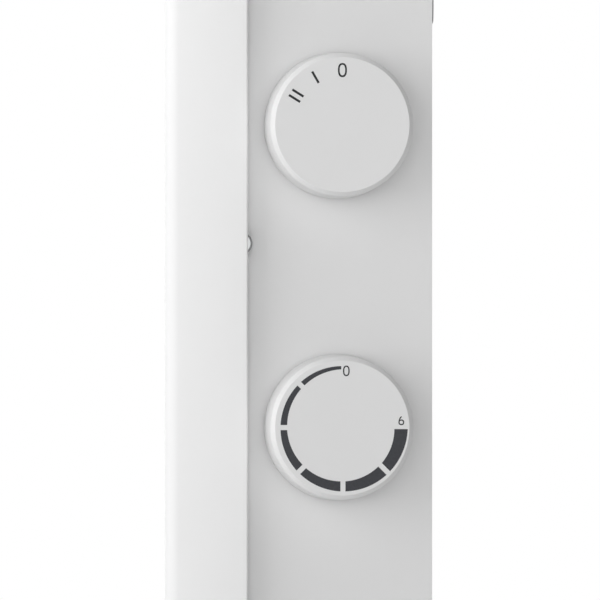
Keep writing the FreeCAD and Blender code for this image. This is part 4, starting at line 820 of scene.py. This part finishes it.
mode_marks = [nought(NOUGHT_WIDTH, NOUGHT_HEIGHT, STROKE, (NOUGHT_SHIFT, MARK_RADIUS))]
mode_marks.append(bar(BAR_LENGTH, BAR_STROKE, on_ring(MARK_RADIUS, ONE_PLACE), ONE_PLACE))
two_middle = on_ring(MARK_RADIUS, TWO_PLACE)
for side in (-1, 1):
    shift = on_ring(side * TWO_SPREAD / 2, TWO_PLACE + 90)
    two_spot = (two_middle[0] + shift[0], two_middle[1] + shift[1])
    mode_marks.append(bar(BAR_LENGTH, BAR_STROKE, two_spot, TWO_PLACE))
knob("mode", [("marks", mode_marks, mark_ink)])

# Marks of the thermostat knob
# A printed ring of six arcs that widen as the heat goes up, parted by narrow gaps, with a small
# nought at its cold end and a figure at its hot end.
RING_ARCS, ARC_SWEEP, RING_START = 6, 45, 90
RING_GAP, RING_LEAD = 1.35, 0.45
RING_OUTER, RING_INNER = (16.28, 17.28), (15.42, 13.72)
RING_SPOT = (0.14, 0.15)
ARC_STEPS = 16
COLD_WIDTH, COLD_HEIGHT, COLD_STROKE, COLD_SPOT = 1.75, 2.8, 0.33, (1.05, 15.15)
SIX_WIDTH, SIX_HEIGHT, SIX_STROKE, SIX_SPOT = 1.5, 2.3, 0.3, (15.7, 1.9)
TAIL_START, TAIL_END, TAIL_STEPS = 176, 134, 10


def ring_arc(index):
    """One arc of the ring. Its ends run along the gaps, so they are square to the arc's middle line."""

    def edge(radii, share):
        """A point of the arc's outer or inner edge, at a share of its length."""
        whole = (index + share) / RING_ARCS
        radius = radii[0] + (radii[1] - radii[0]) * whole
        start_gap = RING_LEAD if index == 0 else RING_GAP / 2
        end_gap = RING_LEAD if index == RING_ARCS - 1 else RING_GAP / 2
        first = RING_START + index * ARC_SWEEP + math.degrees(math.asin(start_gap / radius))
        last = RING_START + (index + 1) * ARC_SWEEP - math.degrees(math.asin(end_gap / radius))
        return on_ring(radius, first + (last - first) * share)

    shares = [count / ARC_STEPS for count in range(ARC_STEPS + 1)]
    outline = [edge(RING_OUTER, share) for share in shares]
    outline += [edge(RING_INNER, share) for share in reversed(shares)]
    return {"outer": placed(outline, RING_SPOT)}


def six(spot):
    """A plain figure: a bowl and a tail."""
    bowl_spot = (spot[0], spot[1] - SIX_HEIGHT / 2 + SIX_WIDTH / 2)
    tail_middle = (spot[0] + SIX_HEIGHT - SIX_WIDTH / 2, bowl_spot[1])
    first, last = math.radians(TAIL_START), math.radians(TAIL_END)
    tail = arc_points(tail_middle, SIX_HEIGHT, first, last, TAIL_STEPS)
    tail += arc_points(tail_middle, SIX_HEIGHT - SIX_STROKE, last, first, TAIL_STEPS)
    return [nought(SIX_WIDTH, SIX_WIDTH, SIX_STROKE, bowl_spot), {"outer": tail}]


ring_marks = [ring_arc(index) for index in range(RING_ARCS)]
figures = [nought(COLD_WIDTH, COLD_HEIGHT, COLD_STROKE, COLD_SPOT)] + six(SIX_SPOT)
knob("thermostat", [("ring", ring_marks, ring_ink), ("marks", figures, mark_ink)])

# Wall pads
# Two dished discs of moulded rubber, stuck low on the back.
# They keep the heater off the wall.
PAD_EDGE, PAD_ROUND = 0.2, 0.8
DISH_DEPTH, DISH_ROUND, DISH_RIM, DISH_FLOOR = 0.5, 0.4, 0.55, 0.5
TURNED_STEPS = 64
pads_low, pads_high = (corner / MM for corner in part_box("wall_pads"))
pad_radius = (pads_high.z - pads_low.z) / 2
pad_depth = pads_high.y - pads_low.y
PAD_SECTION = rounded_section([
    (0, 0, 0), (0, pad_radius, PAD_EDGE), (pad_depth, pad_radius, PAD_ROUND),
    (pad_depth, pad_radius * DISH_RIM, DISH_ROUND),
    (pad_depth - DISH_DEPTH, pad_radius * DISH_FLOOR, DISH_ROUND), (pad_depth - DISH_DEPTH, 0, 0),
])
for side in (-1, 1):
    pad_seat = Matrix.Rotation(-math.pi / 2, 4, "X")
    pad_x = side * (pads_high.x - pad_radius)
    pad_seat.translation = Vector((pad_x, pads_low.y, pads_low.z + pad_radius)) * MM
    pad = lathe("wall_pad_" + ("left" if side < 0 else "right"), PAD_SECTION, pad_seat, TURNED_STEPS, rubber)
    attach(pad, "heater")
    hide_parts("wall_pads")

# Cable gland
# A black nylon sleeve with a flange, pushed up through the bottom wall and held by a nut inside.
# It is moulded in one piece, and its bore runs right through.
GLAND_BORE, GLAND_FLANGE, GLAND_NECK = 4.0, 9.5, 6.4
GLAND_FLANGE_LENGTH, GLAND_CHAMFER = 4.0, 1.2
NOSE_ROUND, FLANGE_ROUND, SEAT_ROUND, NECK_ROUND = 0.5, 0.6, 0.2, 0.4
gland_low, gland_high = (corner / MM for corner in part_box("cable_gland"))
gland_length = gland_high.z - gland_low.z
GLAND_SECTION = rounded_section([
    (0, GLAND_BORE, 0), (0, GLAND_FLANGE - GLAND_CHAMFER, NOSE_ROUND),
    (GLAND_CHAMFER, GLAND_FLANGE, FLANGE_ROUND), (GLAND_FLANGE_LENGTH, GLAND_FLANGE, SEAT_ROUND),
    (GLAND_FLANGE_LENGTH, GLAND_NECK, 0), (gland_length, GLAND_NECK, NECK_ROUND),
    (gland_length, GLAND_BORE, 0),
])
gland_x = (gland_low.x + gland_high.x) / 2
gland_y = (gland_low.y + gland_high.y) / 2
gland_seat = Matrix.Translation(Vector((gland_x, gland_y, gland_low.z)) * MM)
gland = lathe("cord_gland", GLAND_SECTION, gland_seat, TURNED_STEPS, black_plastic)
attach(gland, "heater")
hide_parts("cable_gland")

# Floor
# A pale round floor a little below the heater, which hangs clear of it. It is matt, and fades out
# into the white backdrop. Sizes of the floor, the light and the camera are in metres.
FLOOR_RADIUS, FLOOR_FADE = 3.0, 0.7
FLOOR_DROP = 0.012
FLOOR_STEPS = 96
FLOOR_GREY, FLOOR_ROUGH = (0.88, 0.88, 0.88, 1), 0.8
FLOOR_CLOUD, FLOOR_SHADE = 0.5, 0.99
floor_paint, tree, shader, place = new_finish("floor_paint")
tint(tree, shader, grain(tree, place, FLOOR_CLOUD), FLOOR_GREY, FLOOR_SHADE)
shader.inputs["Roughness"].default_value = FLOOR_ROUGH
reach = step(tree, "ShaderNodeVectorMath", {0: place}, operation="LENGTH").outputs["Value"]
fade_span = {"Value": reach, "From Min": FLOOR_FADE, "From Max": FLOOR_RADIUS, "To Min": 1.0, "To Max": 0.0}
fade = step(tree, "ShaderNodeMapRange", fade_span, interpolation_type="SMOOTHSTEP").outputs["Result"]
tree.links.new(fade, shader.inputs["Alpha"])
floor_shape = bmesh.new()
bmesh.ops.create_circle(floor_shape, cap_ends=True, segments=FLOOR_STEPS, radius=FLOOR_RADIUS)
floor_shape.transform(Matrix.Translation((0, 0, cad_box[0][2] - FLOOR_DROP)))
floor = new_piece("floor", floor_shape, floor_paint)

# Light
# A large soft lamp on the room's side, towards the controls, and the glow of the studio's walls.
# Each glow has its axis, its way, how narrow it is and its strength.
KEY_WAY, KEY_DISTANCE = (0.64, -0.77, 0.23), 2.2
KEY_SIZE, KEY_POWER = (1.5, 1.8), 11.3
GLOWS = {
    "room": ("Y", -1, 3, 1.80),
    "control end": ("X", 1, 8, 2.42),
    "far end": ("X", -1, 8, 2.42),
    "overhead": ("Z", 1, 8, 1.07),
    "wall": ("Y", 1, 8, 0.5),
}
BACKDROP = 1.0
lamp = bpy.data.lights.new("key_light", "AREA")
lamp.shape = "RECTANGLE"
lamp.size, lamp.size_y = KEY_SIZE
lamp.energy = KEY_POWER
key_light = linked("key_light", lamp)
key_aim = panel_middle * MM
key_light.location = key_aim + Vector(KEY_WAY).normalized() * KEY_DISTANCE
key_light.rotation_euler = (key_aim - key_light.location).to_track_quat("-Z", "Y").to_euler()
key_light.visible_camera = False


def sum_of(tree, operation, *values):
    """One sum of a shader tree."""
    return first_out(tree, "ShaderNodeMath", dict(enumerate(values)), operation=operation)


world = bpy.data.worlds.new("studio")
world.use_nodes = True
bpy.context.scene.world = world
sky = world.node_tree
background = sky.nodes["Background"]
background.inputs["Color"].default_value = (1, 1, 1, 1)
seen = step(sky, "ShaderNodeLightPath", {}).outputs["Is Camera Ray"]
sky_place = step(sky, "ShaderNodeTexCoord", {}).outputs["Generated"]
sky_way = step(sky, "ShaderNodeSeparateXYZ", {0: sky_place}).outputs
glow = 0.0
for axis, sign, narrowness, brightness in GLOWS.values():
    toward = sum_of(sky, "MAXIMUM", sum_of(sky, "MULTIPLY", sky_way[axis], sign), 0.0)
    glow = sum_of(sky, "MULTIPLY_ADD", sum_of(sky, "POWER", toward, narrowness), brightness, glow)
strength = step(sky, "ShaderNodeMapRange", {"Value": seen, "To Min": glow, "To Max": BACKDROP})
sky.links.new(strength.outputs["Result"], background.inputs["Strength"])
bpy.context.scene.view_settings.view_transform = "Standard"

# Camera
# A long lens that looks square at the control side, at the height of the panel's middle.
# The width of what it sees is measured at the controls.
VIEW_WIDTH, VIEW_DISTANCE = 0.160, 2.2
VIEW_PLANE, VIEW_ACROSS, VIEW_RISE = 0.2225, -0.0376, 0.00013
SENSOR = 36.0
aim = Vector((VIEW_PLANE, VIEW_ACROSS, panel_middle.z * MM + VIEW_RISE))
lens = bpy.data.cameras.new("side_view")
lens.sensor_width = SENSOR
lens.lens = SENSOR * VIEW_DISTANCE / VIEW_WIDTH
camera = linked("side_view", lens)
camera.location = aim + Vector((VIEW_DISTANCE, 0, 0))
camera.rotation_euler = (math.pi / 2, 0, math.pi / 2)
bpy.context.scene.camera = camera
